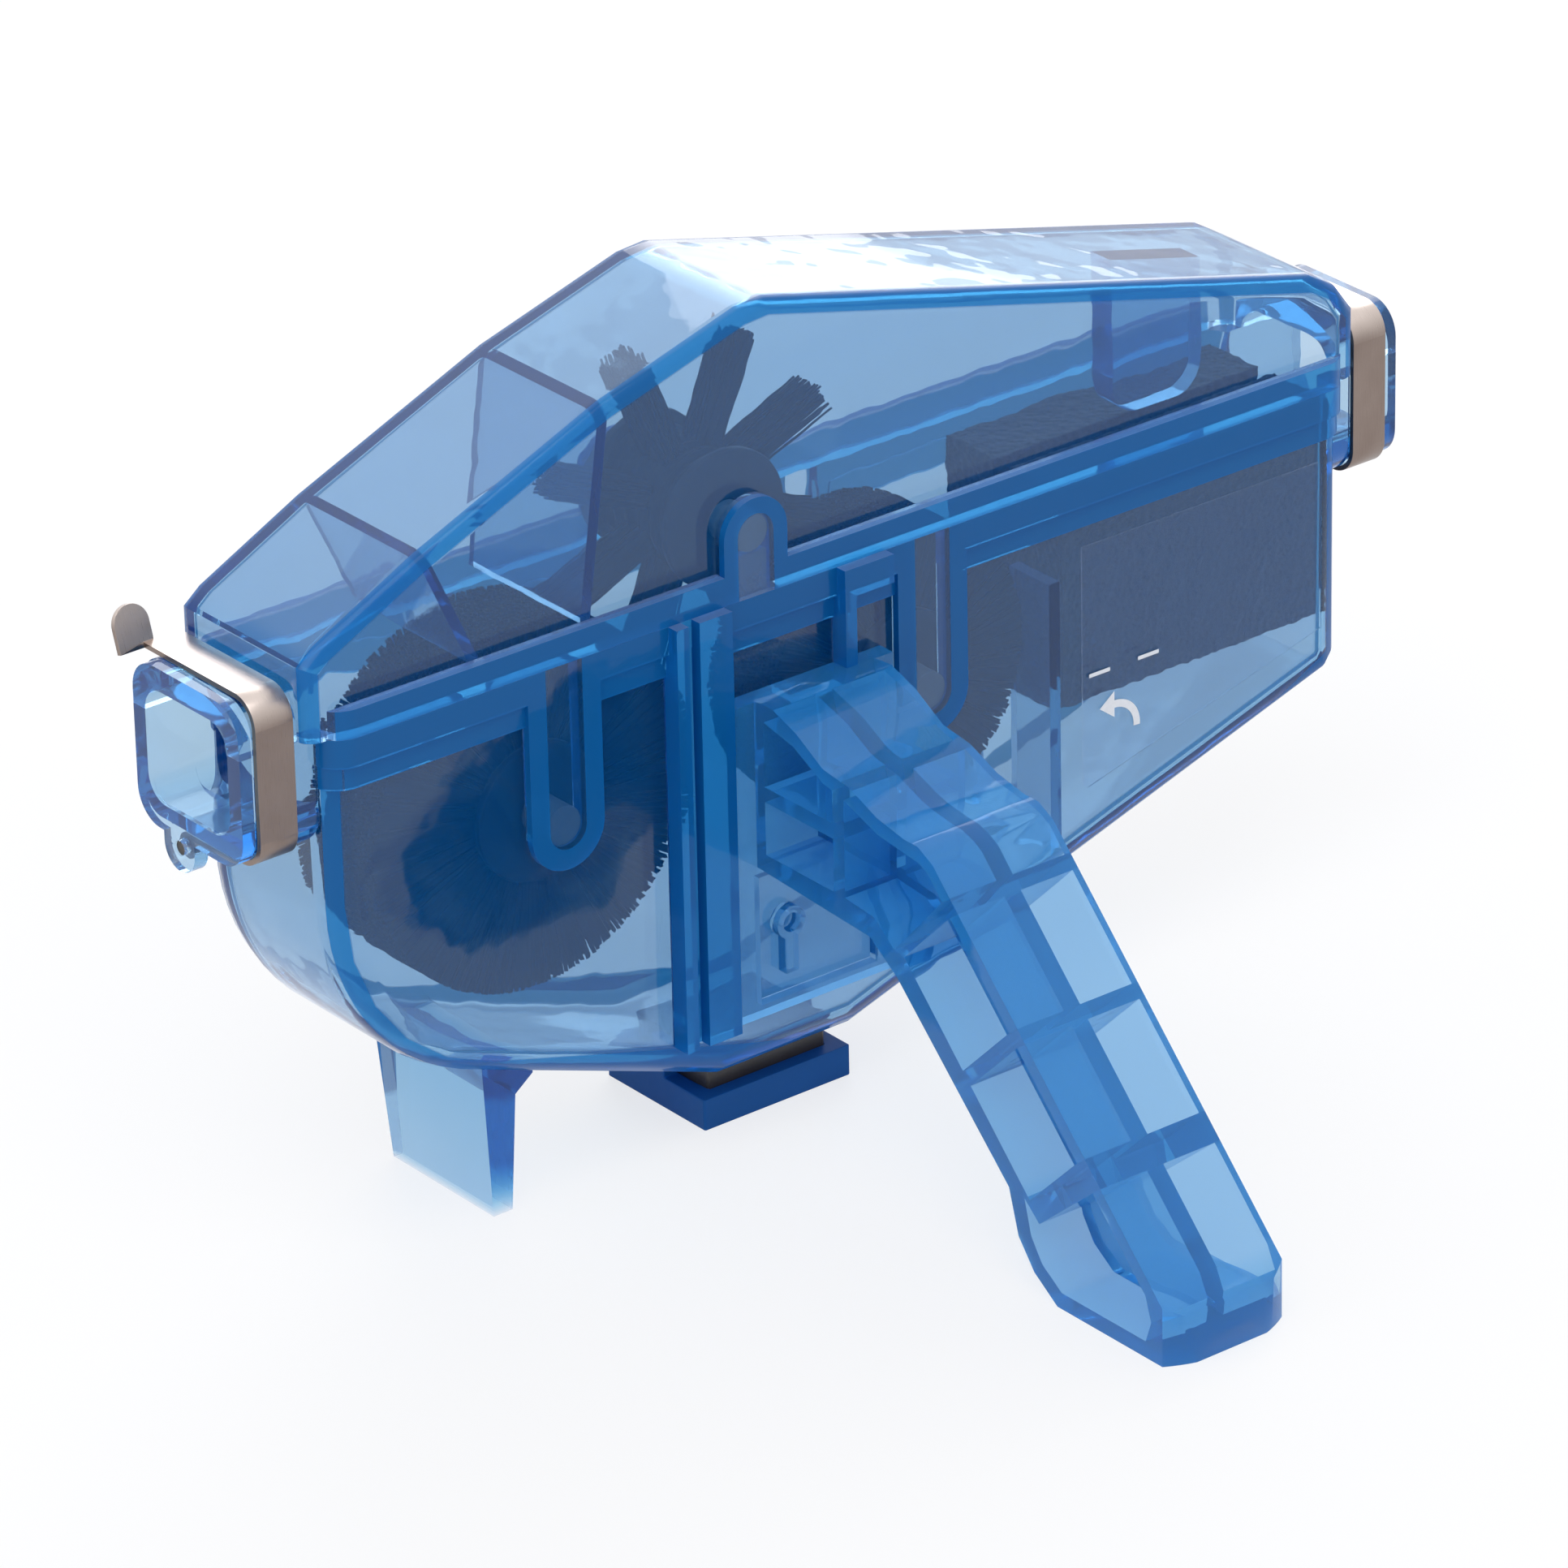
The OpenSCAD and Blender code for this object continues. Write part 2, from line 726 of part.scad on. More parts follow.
module magnet_tray() {
    seat = tray_height * half_share;
    color(tray_blue) {
        difference() {
            span([-tray_half_length, -tray_half_width, 0], [tray_half_length, tray_half_width, tray_height]);
            span([-magnet_half_length - overlap, -magnet_half_width - overlap, seat],
                [magnet_half_length + overlap, magnet_half_width + overlap, tray_height + wall]);
        }
        for (side = sides) mirror([side < 0 ? 1 : 0, 0, 0])
            span([magnet_half_length + tray_ear_gap, -wall, tray_height - overlap],
                [tray_half_length, wall, belly_height]);
    }
}

module magnet() {
    color(magnet_dark)
        span([-magnet_half_length, -magnet_half_width, tray_height * half_share],
            [magnet_half_length, magnet_half_width, belly_height]);
}

// strap latches, drawn at the rear end around the middle

module strap_section() {
    t = strap_thickness;
    intersection() {
        difference() {
            round_span_2d([-strap_side - t, strap_low - t], [far_out, nozzle_top + t], strap_bend);
            round_span_2d([-strap_side, strap_low], [far_out + t, nozzle_top], strap_bend - t);
        }
        union() {
            span_2d([-far_out, parting_height], [strap_end, far_out]);
            span_2d([-far_out, 0], [pin_side, parting_height]);
        }
    }
    translate([pin_side, pin_height]) difference() {
        circle(r = strap_eye, $fn = facets);
        circle(r = pin_radius + pin_fit, $fn = facets);
    }
}

module strap_tab() {
    half = tab_width * half_share;
    translate([strap_front_edge - tab_shift, strap_end - strap_thickness, nozzle_top]) rotate([-tab_lean, 0, 0])
        along_y(0, strap_thickness) {
            span_2d([0, 0], [tab_width, tab_height - half]);
            translate([half, tab_height - half]) circle(r = half, $fn = facets);
        }
}

module latch_strap_front() {
    color(strap_steel) at_front() {
        along_x(strap_back_edge, strap_front_edge) strap_section();
        strap_tab();
    }
}

module latch_strap_rear() {
    color(strap_steel) at_rear() along_x(strap_back_edge, strap_front_edge) strap_section();
}

module latch_pin() {
    translate([body_reach - wall + pin_end_gap, pin_side, pin_height]) rotate([0, right_angle, 0])
        cylinder(h = nozzle_length + wall - pin_end_gap - rest_gap, r = pin_radius, $fn = facets);
}

module latch_pin_front() {
    color(pin_steel) at_front() latch_pin();
}

module latch_pin_rear() {
    color(pin_steel) at_rear() latch_pin();
}

// label and sponge

module fill_label() {
    left = body_rear - label_back - label_length;
    low = parting_height - label_drop - label_height;
    color(label_dark) along_y(-body_half_width - label_thickness, -body_half_width)
        polygon([for (p = label_shares) [left + p[0] * label_length, low + p[1] * label_height]]);
}

module sponge_section(top) {
    polygon([
        [sponge_front, sponge_bottom], [sponge_rear - sponge_corner, sponge_bottom],
        [sponge_rear, sponge_bottom + sponge_corner], [sponge_rear, top], [sponge_front, top]]);
}

module sponge_half() {
    half = slit_width * half_share;
    intersection() {
        union() {
            along_y(-body_half_width, -half) sponge_section(sponge_top);
            along_y(-half - overlap, 0) sponge_section(sponge_top - slit_depth);
        }
        tank_block(wall + rest_gap);
    }
}

module sponge_near() {
    color(foam_dark) sponge_half();
}

module sponge_far() {
    color(foam_dark) mirror([0, 1, 0]) sponge_half();
}

// bristle wheels, drawn around their own axle

module wheel_axle() {
    rotate([right_angle, 0, 0])
        cylinder(h = axle_half_length + axle_half_length, r = axle_radius, center = true, $fn = facets);
}

module wheel_hub() {
    drum = hub_half_length - cheek_thickness;
    rotate([right_angle, 0, 0]) difference() {
        union() {
            cylinder(h = drum + drum, r = sleeve_inner - hub_fit, center = true, $fn = facets);
            for (side = sides)
                translate([0, 0, side * (drum + cheek_thickness * half_share)])
                    cylinder(h = cheek_thickness, r = cheek_radius, center = true, $fn = facets);
        }
        cylinder(h = far_out, r = axle_radius + hub_fit, center = true, $fn = facets);
    }
}

module sleeve() {
    reach = hub_half_length - cheek_thickness - overlap;
    rotate([right_angle, 0, 0]) difference() {
        cylinder(h = reach + reach, r = sleeve_outer, center = true, $fn = facets);
        cylinder(h = far_out, r = sleeve_inner, center = true, $fn = facets);
    }
}

module strand(row_share, turn, shift, tip) {
    s = strand_side * half_share;
    row = row_share * hub_half_length;
    rotate([0, turn, 0]) translate([shift, row, sleeve_inner + s]) linear_extrude(tip - sleeve_inner - s)
        polygon([[-s, -s], [s, -s], [0, s]]);
}

module lower_bristles(tip) {
    sleeve();
    for (j = [0:len(lower_rows_shares) - 1])
        for (k = [0:lower_strand_count - 1])
            strand(lower_rows_shares[j], (k + j * half_share) * full_turn / lower_strand_count, 0, tip);
}

module tuft_bristles() {
    sleeve();
    spread = tuft_strand_count - 1;
    for (row_share = upper_rows_shares)
        for (k = [0:tuft_count - 1])
            for (i = [0:spread])
                strand(row_share, (k + half_share) * full_turn / tuft_count,
                    (i - spread * half_share) * tuft_pitch, upper_reach);
}

module at_wheel(place) {
    translate([place[0], 0, place[1]]) children();
}

module upper_axle() {
    color(axle_grey) at_wheel(upper_wheel) wheel_axle();
}

module upper_hub() {
    color(hub_dark) at_wheel(upper_wheel) wheel_hub();
}

module upper_bristles() {
    color(nylon_dark) at_wheel(upper_wheel) tuft_bristles();
}

module front_axle() {
    color(axle_grey) at_wheel(front_wheel) wheel_axle();
}

module front_hub() {
    color(hub_dark) at_wheel(front_wheel) wheel_hub();
}

module front_bristles() {
    color(nylon_dark) at_wheel(front_wheel) lower_bristles(front_wheel_radius);
}

module rear_axle() {
    color(axle_grey) at_wheel(rear_wheel) wheel_axle();
}

module rear_hub() {
    color(hub_dark) at_wheel(rear_wheel) wheel_hub();
}

module rear_bristles() {
    color(nylon_dark) at_wheel(rear_wheel) lower_bristles(rear_wheel_radius);
}

tank();
cover();
handle();
magnet_tray();
magnet();
latch_strap_front();
latch_strap_rear();
latch_pin_front();
latch_pin_rear();
fill_label();
sponge_near();
sponge_far();
upper_axle();
upper_hub();
upper_bristles();
front_axle();
front_hub();
front_bristles();
rear_axle();
rear_hub();
rear_bristles();
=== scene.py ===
import math
import random

import bpy
from bpy.props import BoolProperty, FloatProperty, FloatVectorProperty, IntProperty, PointerProperty
from bpy.types import Operator, Panel, PropertyGroup
from mathutils import Matrix, Vector, noise


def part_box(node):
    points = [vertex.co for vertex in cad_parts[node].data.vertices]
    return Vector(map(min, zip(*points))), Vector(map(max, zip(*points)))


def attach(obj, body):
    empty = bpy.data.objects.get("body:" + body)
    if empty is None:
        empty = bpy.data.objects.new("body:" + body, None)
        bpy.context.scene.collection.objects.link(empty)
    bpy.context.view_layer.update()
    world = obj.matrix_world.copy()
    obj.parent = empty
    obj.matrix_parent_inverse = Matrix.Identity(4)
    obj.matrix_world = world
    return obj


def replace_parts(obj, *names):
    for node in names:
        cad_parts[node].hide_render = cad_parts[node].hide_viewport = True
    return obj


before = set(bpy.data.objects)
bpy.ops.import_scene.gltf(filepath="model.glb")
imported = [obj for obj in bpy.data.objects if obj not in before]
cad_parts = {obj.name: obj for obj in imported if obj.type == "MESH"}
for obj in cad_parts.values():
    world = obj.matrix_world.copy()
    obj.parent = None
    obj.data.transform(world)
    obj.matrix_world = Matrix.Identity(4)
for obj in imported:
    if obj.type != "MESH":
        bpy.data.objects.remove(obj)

bpy.context.view_layer.update()

bl_info = {
    "name": "Chain cleaner dressing",
    "version": (1, 0, 0),
    "blender": (4, 5, 0),
    "location": "View3D > Sidebar > Cleaner",
    "description": "Dresses the clear chain cleaner with its finishes, brushes, sponge and stage",
    "category": "Object",
}

MM = 0.001

# Camera, fitted to the straight edges of the cleaner, with its right, up and back directions
EYE = Vector((-777.40, -1006.31, 672.25)) * MM
CAMERA_AXES = (
    Vector((0.78088, -0.62437, -0.01964)),
    Vector((0.28925, 0.33353, 0.89727)),
    Vector((-0.55368, -0.70634, 0.44104)),
)
SENSOR = 36.0
LENS = 224.90
FAR_CLIP = 20.0
BOUNCES = 24

# Floor and lamps, in metres and watts
FLOOR_ROWS = 12
FLOOR_GLOW = 0.72
LAMP_AIM = Vector((0.0, 0.0, 0.06))
LAMPS = {
    "key_box": {"place": (-0.7, -0.7, 1.7), "size": 1.4, "power": 17.0},
    "back_box": {"place": (1.2, 1.15, 0.85), "size": 1.3, "power": 12.0},
}

# Walls of the clear mouldings, in metres: half widths inside and outside, and the rim band that shows on
# edge, which gets painted shade
INNER_FACE = 12.9 * MM
INNER_BLUR = 0.1 * MM
SIDE_FACE = 15.7 * MM
SIDE_BLUR = 0.2 * MM
RIM = 2.6 * MM
RIM_BLUR = 0.3 * MM
SLOT_RADIUS = 3.05 * MM
SLOT_BLUR = 0.25 * MM

# Outlines of the side walls in X and Z, in millimetres
JOINT_HEIGHT = 85.5
FRONT_ROUND = {"centre": (-44.5, 59.0), "radius": 36.0, "first": 180.0, "last": 254.6, "steps": 5}
BELLY = [(0.2, 9.5), (12.0, 9.5), (95.0, 35.2), (105.5, 41.0), (105.5, JOINT_HEIGHT)]
COVER_OUTLINE = [
    (-83.3, JOINT_HEIGHT), (-83.3, 97.0), (-80.3, 99.4), (-63.0, 108.0), (-30.5, 121.5), (-6.0, 128.8),
    (-1.0, 129.2), (101.0, 103.5), (106.0, 100.5), (109.3, 96.0), (109.3, JOINT_HEIGHT),
]

# Wheels: their bodies, the axle in X and Z, the reach of the bristles in millimetres, and the seed
WHEELS = {
    "front": {"body": "front_wheel", "place": (-40.5, 60.0), "radius": 28.0, "seed": 80},
    "rear": {"body": "rear_wheel", "place": (26.0, 60.0), "radius": 23.5, "seed": 73},
    "upper": {"body": "upper_wheel", "place": (-6.0, 95.0), "radius": 25.9, "seed": 41},
}

# Sleeve that carries the bristles, in millimetres: places across the wheel and radii
SLEEVE_HALF = 8.0
SLEEVE_END_RIDGE = 6.4
RIDGE_STEP = 1.4
RIDGES_EACH_WAY = 4
RIDGE_RADIUS = 9.15
GROOVE_RADIUS = 8.7
SHOULDER_RADIUS = 9.0
SLEEVE_BORE = 7.55
SLEEVE_STEPS = 72

# Bristles of the lower wheels, in millimetres and radians
ROW_HALF = 7.6
ROOT_RADIUS = 8.4
ROOT_JITTER_SHARE = 0.2
BRISTLE_LEAN = 0.006
WORN_ENDS = 0.06
ROW_SPREAD = 1.02
TIP_JITTER = 0.25
TIP_HALF = 9.0
TIP_FLARE = 1.45

# Tufts of the upper wheel, in millimetres
TUFT_COLUMNS = 11
TUFT_ROWS = 12
TUFT_HALF_WIDTH = 2.1
TUFT_HALF_DEPTH = 2.4
TUFT_ROOT = 8.3
TUFT_PINCH = 0.86
TUFT_ROOT_JITTER = 0.16
TUFT_FRAY = 0.28
TUFT_SPREAD = 1.02
TUFT_WEAR = 0.7
TUFT_DEPTH_SPREAD = 1.05
TUFT_DEPTH_FRAY = 0.3
TUFT_CLEARANCE = 0.1
TUFT_TAPER = 0.8

# Sponge, in metres; the pores are counted in each metre
SLIT_HALF = 1.5 * MM
SLIT_DEPTH = 7.5 * MM
FOAM_GAP = 0.05 * MM
FOAM_JOIN = 0.05 * MM
FINE_PORES = 900.0
COARSE_PORES = 420.0
PORE_LIFT = 0.55
CORNER_SHARE = 0.93
CORNER_WEAR = 2.0 * MM
DEEPEST_PORE = 1.1 * MM
HAIR = 1e-9

# Printed marks on the near wall, in millimetres
PRINT_FACE = -15.82
PRINT_THICK = 0.05
DASH_STARTS = {"level_dash_front": 56.2, "level_dash_rear": 65.6}
DASH_LENGTH = 4.0
DASH_FOOT = 52.6
DASH_HEIGHT = 0.6
ARROW_CENTRE = (61.0, 42.6)
ARROW_INNER = 3.7
ARROW_OUTER = 4.9
ARROW_SWEEP = (-5.0, 90.0)
ARROW_STEPS = 14
ARROW_HEAD = 2.8
ARROW_HEAD_HALF = 2.1

# Edges: how far seated pieces are drawn in, which corners are joined, and which angles count as edges
SEAT = 0.02 * MM
LABEL_SEAT = 0.03 * MM
WELD_GAP = 0.004 * MM
EDGE_ANGLE = math.radians(35.0)
SHARP_ANGLE = math.radians(40.0)
EDGE_SEGMENTS = 2
STRAP_EDGE = 0.12 * MM
PIN_EDGE = 0.15 * MM
MAGNET_EDGE = 0.35 * MM
TRAY_EDGE = 0.3 * MM
HUB_EDGE = 0.25 * MM
AXLE_EDGE = 0.3 * MM
LABEL_EDGE = 0.05 * MM

# Colours and shares of the clear plastic
CLEAR_THIN = (0.82, 0.86, 0.90)
# Deep blue tint for the thick rails, flanges and bosses, and painted shade along the rims of the side walls
CLEAR_THICK_AND_RIM_SHADE = (0.035, 0.38, 0.70)
CLEAR_SCATTER = (0.01, 0.27, 0.82)
GRIP_THIN = (0.72, 0.83, 0.90)
GRIP_SCATTER = (0.05, 0.37, 0.79)
GRIP_HAZE_SHARE = 2.7
# Opaque deep blue, laid on the thick parts and as painted shade along the rims seen on edge
DEEP_BLUE_AND_RIM_SHADE = (0.003, 0.150, 0.46)
DEEP_AND_RIM_SHADE_SHARE = 0.56
# Painted sheen on upward faces: a pale diffuse colour and its share, which stand in for the reflection of
# the bright surroundings
PAINTED_TOP_SHEEN = (0.60, 0.64, 0.72)
PAINTED_TOP_SHEEN_SHARE = 0.12
SHADOW_TINT = (0.84, 0.84, 0.88)
CLEAR_IOR = 1.33
COAT_SHARE = 0.45
THICK_COAT_LOSS = 0.38
RIPPLE_STRENGTH = 0.12
RIPPLE_HEIGHT = 2 * MM


# Settings


class PlasticSettings(PropertyGroup):
    tint: FloatVectorProperty(
        name="Tint", description="Share of light that is not taken up inside the clear mouldings",
        subtype="COLOR", size=3, min=0.0, max=1.0, default=(0.0116, 0.593, 0.855))
    depth: FloatProperty(
        name="Depth of tint", description="How much light the clear plastic takes up in a metre",
        default=160.0, min=0.0, max=2000.0)
    haze: FloatProperty(
        name="Haze", description="Share of light that the clear plastic scatters back",
        default=0.10, min=0.0, max=1.0, subtype="FACTOR")
    edge: FloatProperty(
        name="Edge round", description="Rounding of the moulded edges",
        default=0.35 * MM, min=0.0, max=2 * MM, unit="LENGTH")


class BrushSettings(PropertyGroup):
    filament: FloatProperty(
        name="Filament", description="Thickness of one bristle",
        default=0.5 * MM, min=0.1 * MM, max=1 * MM, unit="LENGTH")
    rings: IntProperty(
        name="Rows", description="Rows of bristles across a lower wheel", default=19, min=4, max=24)
    round_count: IntProperty(
        name="Around", description="Bristles in one row of a lower wheel", default=240, min=40, max=400)
    tufts: IntProperty(
        name="Tufts", description="Tufts around the upper wheel", default=8, min=5, max=12)


class SpongeSettings(PropertyGroup):
    cell: FloatProperty(
        name="Cell", description="Distance between the points of the foam's surface",
        default=0.8 * MM, min=0.4 * MM, max=3 * MM, unit="LENGTH")
    rough: FloatProperty(
        name="Depth of pores", description="How deep the open cells are",
        default=0.55 * MM, min=0.0, max=2 * MM, unit="LENGTH")
    colour: FloatVectorProperty(
        name="Colour", description="Colour of the foam", subtype="COLOR", size=3, min=0.0, max=1.0,
        default=(0.012, 0.013, 0.020))


class StageSettings(PropertyGroup):
    floor_reach: FloatProperty(
        name="Floor", description="Half the width of the floor",
        default=3.0, min=0.5, max=10.0, unit="LENGTH")
    sky: FloatProperty(
        name="Sky", description="Strength of the even light from all around",
        default=0.62, min=0.0, max=2.0)
    with_lamps: BoolProperty(
        name="Lamps", description="Light the cleaner with the two soft boxes", default=True)


# Shader graphs


class Wire:
    """A shader socket that takes part in Python expressions."""

    def __init__(self, graph, socket):
        self.graph = graph
        self.socket = socket

    def maths(self, operation, first, second=0.0):
        return self.graph.node("ShaderNodeMath", {"operation": operation}, {0: first, 1: second})

    def __add__(self, other):
        return self.maths("ADD", self, other)

    def __sub__(self, other):
        return self.maths("SUBTRACT", self, other)

    def __rsub__(self, other):
        return self.maths("SUBTRACT", other, self)

    def __mul__(self, other):
        return self.maths("MULTIPLY", self, other)

    __radd__ = __add__
    __rmul__ = __mul__

    def highest(self, other):
        return self.maths("MAXIMUM", self, other)

    def lowest(self, other):
        return self.maths("MINIMUM", self, other)

    def unsigned(self):
        return self.maths("ABSOLUTE", self)

    def root(self):
        return self.maths("SQRT", self)

    def smooth(self, low, high):
        """0 below low, 1 above high, and an even slope between them."""
        return self.graph.node("ShaderNodeMapRange", {}, {"Value": self, "From Min": low, "From Max": high})


class Graph:
    """The node tree of one material or of the world."""

    def __init__(self, owner):
        owner.use_nodes = True
        self.tree = owner.node_tree
        self.tree.nodes.clear()

    def node(self, kind, settings=None, inputs=None, output=0):
        """Adds a node, sets it up, fills or links its sockets and returns one of its outputs."""
        made = self.tree.nodes.new(kind)
        for name, value in (settings or {}).items():
            setattr(made, name, value)
        for name, value in (inputs or {}).items():
            socket = made.inputs[name]
            if isinstance(value, Wire):
                self.tree.links.new(value.socket, socket)
            elif isinstance(value, tuple) and len(value) == 3 and len(socket.default_value) == 4:
                socket.default_value = (*value, 1.0)
            else:
                socket.default_value = value
        return Wire(self, made.outputs[output]) if made.outputs else None

    def place(self, stretch=(1.0, 1.0, 1.0)):
        point = self.node("ShaderNodeTexCoord", output="Object")
        return self.node("ShaderNodeVectorMath", {"operation": "MULTIPLY"}, {0: point, 1: stretch})

    def part(self, axis, source="Object"):
        """One coordinate of the point, or of the way that the surface faces."""
        point = self.node("ShaderNodeTexCoord", output=source)
        return self.node("ShaderNodeSeparateXYZ", {}, {0: point}, axis)

    def noise(self, scale, detail=3.0, roughness=0.55, stretch=(1.0, 1.0, 1.0)):
        inputs = {"Vector": self.place(stretch), "Scale": scale, "Detail": detail, "Roughness": roughness}
        return self.node("ShaderNodeTexNoise", {}, inputs, "Fac")

    def cells(self, scale):
        return self.node("ShaderNodeTexVoronoi", {}, {"Vector": self.place(), "Scale": scale}, "Distance")

    def bump(self, height, strength, distance):
        return self.node(
            "ShaderNodeBump", {}, {"Strength": strength, "Distance": distance, "Height": height}, "Normal")

    def blend(self, share, low, high):
        """A colour between low and high. The Mix node's colour sockets are 6 and 7, and its output 2."""
        return self.node("ShaderNodeMix", {"data_type": "RGBA"}, {"Factor": share, 6: low, 7: high}, 2)

    def principled(self, **inputs):
        named = {name.replace("_", " "): value for name, value in inputs.items()}
        return self.node("ShaderNodeBsdfPrincipled", {}, named)

    def diffuse(self, colour):
        return self.node("ShaderNodeBsdfDiffuse", {}, {"Color": colour})

    def layer(self, share, under, over):
        return self.node("ShaderNodeMixShader", {}, {0: share, 1: under, 2: over})

    def lit_through(self, surface, tint):
        """Lets lamps shine through a clear piece, so that its shadow is only tinted."""
        air = self.node("ShaderNodeBsdfTransparent", {}, {"Color": tint})
        shadow = self.node("ShaderNodeLightPath", output="Is Shadow Ray")
        return self.layer(shadow, surface, air)

    def seen(self):
        """1 for what the camera sees straight, in a gloss or through clear plastic."""
        rays = [self.node("ShaderNodeLightPath", output=name)
                for name in ("Is Camera Ray", "Is Glossy Ray", "Is Transmission Ray")]
        return rays[0].highest(rays[1]).highest(rays[2])

    def finish(self, surface, volume=None, world=False):
        inputs = {"Surface": surface}
        if volume:
            inputs["Volume"] = volume
        self.node("ShaderNodeOutputWorld" if world else "ShaderNodeOutputMaterial", {}, inputs)


def new_material(name):
    material = bpy.data.materials.new(name)
    return material, Graph(material)


# Clear plastic


def arc_points(centre, radius, first, last, steps):
    """Points of an arc in X and Z, between two angles in degrees."""
    angles = [math.radians(first + (last - first) * k / steps) for k in range(steps + 1)]
    return [(centre[0] + radius * math.cos(a), centre[1] + radius * math.sin(a)) for a in angles]


def tank_outline():
    front = FRONT_ROUND["centre"][0] - FRONT_ROUND["radius"]
    return [(front, JOINT_HEIGHT), *arc_points(**FRONT_ROUND), *BELLY]


def edge_lines(outline, opens_up):
    """The outline's sides as lines: the way each faces out in X and Z, and its distance from the origin."""
    turn = 1.0 if opens_up else -1.0
    lines = []
    for (x0, z0), (x1, z1) in zip(outline, outline[1:]):
        run, rise = x1 - x0, z1 - z0
        length = math.hypot(run, rise)
        out_x, out_z = turn * rise / length, -turn * run / length
        lines.append((out_x, out_z, (out_x * x0 + out_z * z0) * MM))
    return lines


def slot_place(x, z, centre, opens_up):
    """1 inside the thin floor of an axle slot, which runs up or down from its round end."""
    across = x - centre[0] * MM
    along = z - centre[1] * MM
    along = along.lowest(0.0) if opens_up else along.highest(0.0)
    distance = (across * across + along * along).root()
    return 1.0 - distance.smooth(SLOT_RADIUS, SLOT_RADIUS + SLOT_BLUR)


def thick_and_rim_shade_places(g, outline, slots, opens_up):
    """1 where a shell is thick, on its rails, flanges and bosses, and on the rims of its side walls, where
    walls seen on edge get painted shade.
    """
    x, y, z = (g.part(name) for name in "XYZ")
    reach = y.unsigned()
    proud = reach.smooth(SIDE_FACE, SIDE_FACE + SIDE_BLUR)
    for centre in slots:
        proud = proud * (1.0 - slot_place(x, z, centre, opens_up))
    # Painted shade: bands along the edges of the side walls, where the walls are seen on edge
    rim_shades = [(x * out_x + z * out_z - offset).smooth(-RIM, RIM_BLUR - RIM)
            for out_x, out_z, offset in edge_lines(outline, opens_up)]
    rim_shade = rim_shades[0]
    for other in rim_shades[1:]:
        rim_shade = rim_shade.highest(other)
    return proud.highest(rim_shade * reach.smooth(INNER_FACE, INNER_FACE + INNER_BLUR))


def clear_plastic(g, settings, thick_and_rim_shade, haze, thin, scatter, painted_sheen_share):
    """Tinted clear plastic: deep blue where it is thick and painted shade along the rims seen on edge, with
    a little haze, and a painted sheen on upward faces, which stands in for the reflection of the bright
    surroundings.
    """
    ripple = g.bump(g.noise(scale=70.0, detail=2.0), RIPPLE_STRENGTH, RIPPLE_HEIGHT)
    handling = g.noise(scale=260.0, detail=4.0)
    body = g.principled(
        Base_Color=g.blend(thick_and_rim_shade, thin, CLEAR_THICK_AND_RIM_SHADE), Roughness=handling * 0.04 + 0.005,
        IOR=CLEAR_IOR, Transmission_Weight=1.0, Coat_Weight=COAT_SHARE - thick_and_rim_shade * THICK_COAT_LOSS,
        Coat_Roughness=0.03, Coat_IOR=1.5, Normal=ripple)
    deep = g.principled(Base_Color=DEEP_BLUE_AND_RIM_SHADE, Roughness=0.35, Specular_IOR_Level=0.15, Normal=ripple)
    top = g.part("Z", "Normal").smooth(0.80, 0.97)
    body = g.layer(haze, body, g.diffuse(scatter))
    # Deep blue on the thick parts, and painted shade along the rims seen on edge
    body = g.layer(thick_and_rim_shade * DEEP_AND_RIM_SHADE_SHARE, body, deep)
    # Painted sheen: upward faces get a pale diffuse layer in place of a reflection of the bright
    # surroundings
    body = g.layer(top * painted_sheen_share, body, g.diffuse(PAINTED_TOP_SHEEN))
    volume = g.node(
        "ShaderNodeVolumeAbsorption", {}, {"Color": tuple(settings.tint), "Density": settings.depth})
    g.finish(g.lit_through(body, SHADOW_TINT), volume)


def shell_plastic(name, settings, outline, wheels, opens_up):
    material, g = new_material(name)
    slots = [WHEELS[wheel]["place"] for wheel in wheels]
    thick_and_rim_shade = thick_and_rim_shade_places(g, outline, slots, opens_up)
    clear_plastic(g, settings, thick_and_rim_shade, settings.haze, CLEAR_THIN, CLEAR_SCATTER, PAINTED_TOP_SHEEN_SHARE)
    return material


def grip_plastic(settings):
    material, g = new_material("clear_blue_grip")
    clear_plastic(g, settings, 0.0, settings.haze * GRIP_HAZE_SHARE, GRIP_THIN, GRIP_SCATTER, 0.0)
    return material


# Other finishes


def label_film():
    material, g = new_material("label_film_clear")
    body = g.principled(
        Base_Color=(0.96, 0.97, 1.0), Roughness=g.noise(scale=400.0) * 0.03 + 0.01, IOR=1.12,
        Transmission_Weight=1.0)
    g.finish(g.lit_through(body, (0.92, 0.94, 0.98)))
    return material


def strap_steel():
    """Brushed spring steel with painted light and shade: lighter on upward faces, and a darker coppery
    brown on its sides.
    """
    material, g = new_material("strap_spring_steel")
    grain = g.noise(scale=900.0, roughness=0.6, stretch=(12.0, 0.35, 0.35))
    cloud = g.noise(scale=60.0)
    # Painted light and shade: the colour is lighter where the surface faces up and darker where it faces
    # sideways
    top = g.part("Z", "Normal").smooth(0.0, 0.9)
    g.finish(g.principled(
        Base_Color=g.blend(top * 0.7 + cloud * 0.3 + grain * 0.1, (0.13, 0.085, 0.066), (0.80, 0.70, 0.65)),
        Metallic=1.0, Roughness=grain * 0.16 + 0.22, Anisotropic=0.5,
        Normal=g.bump(grain, strength=0.08, distance=0.2 * MM)))
    return material


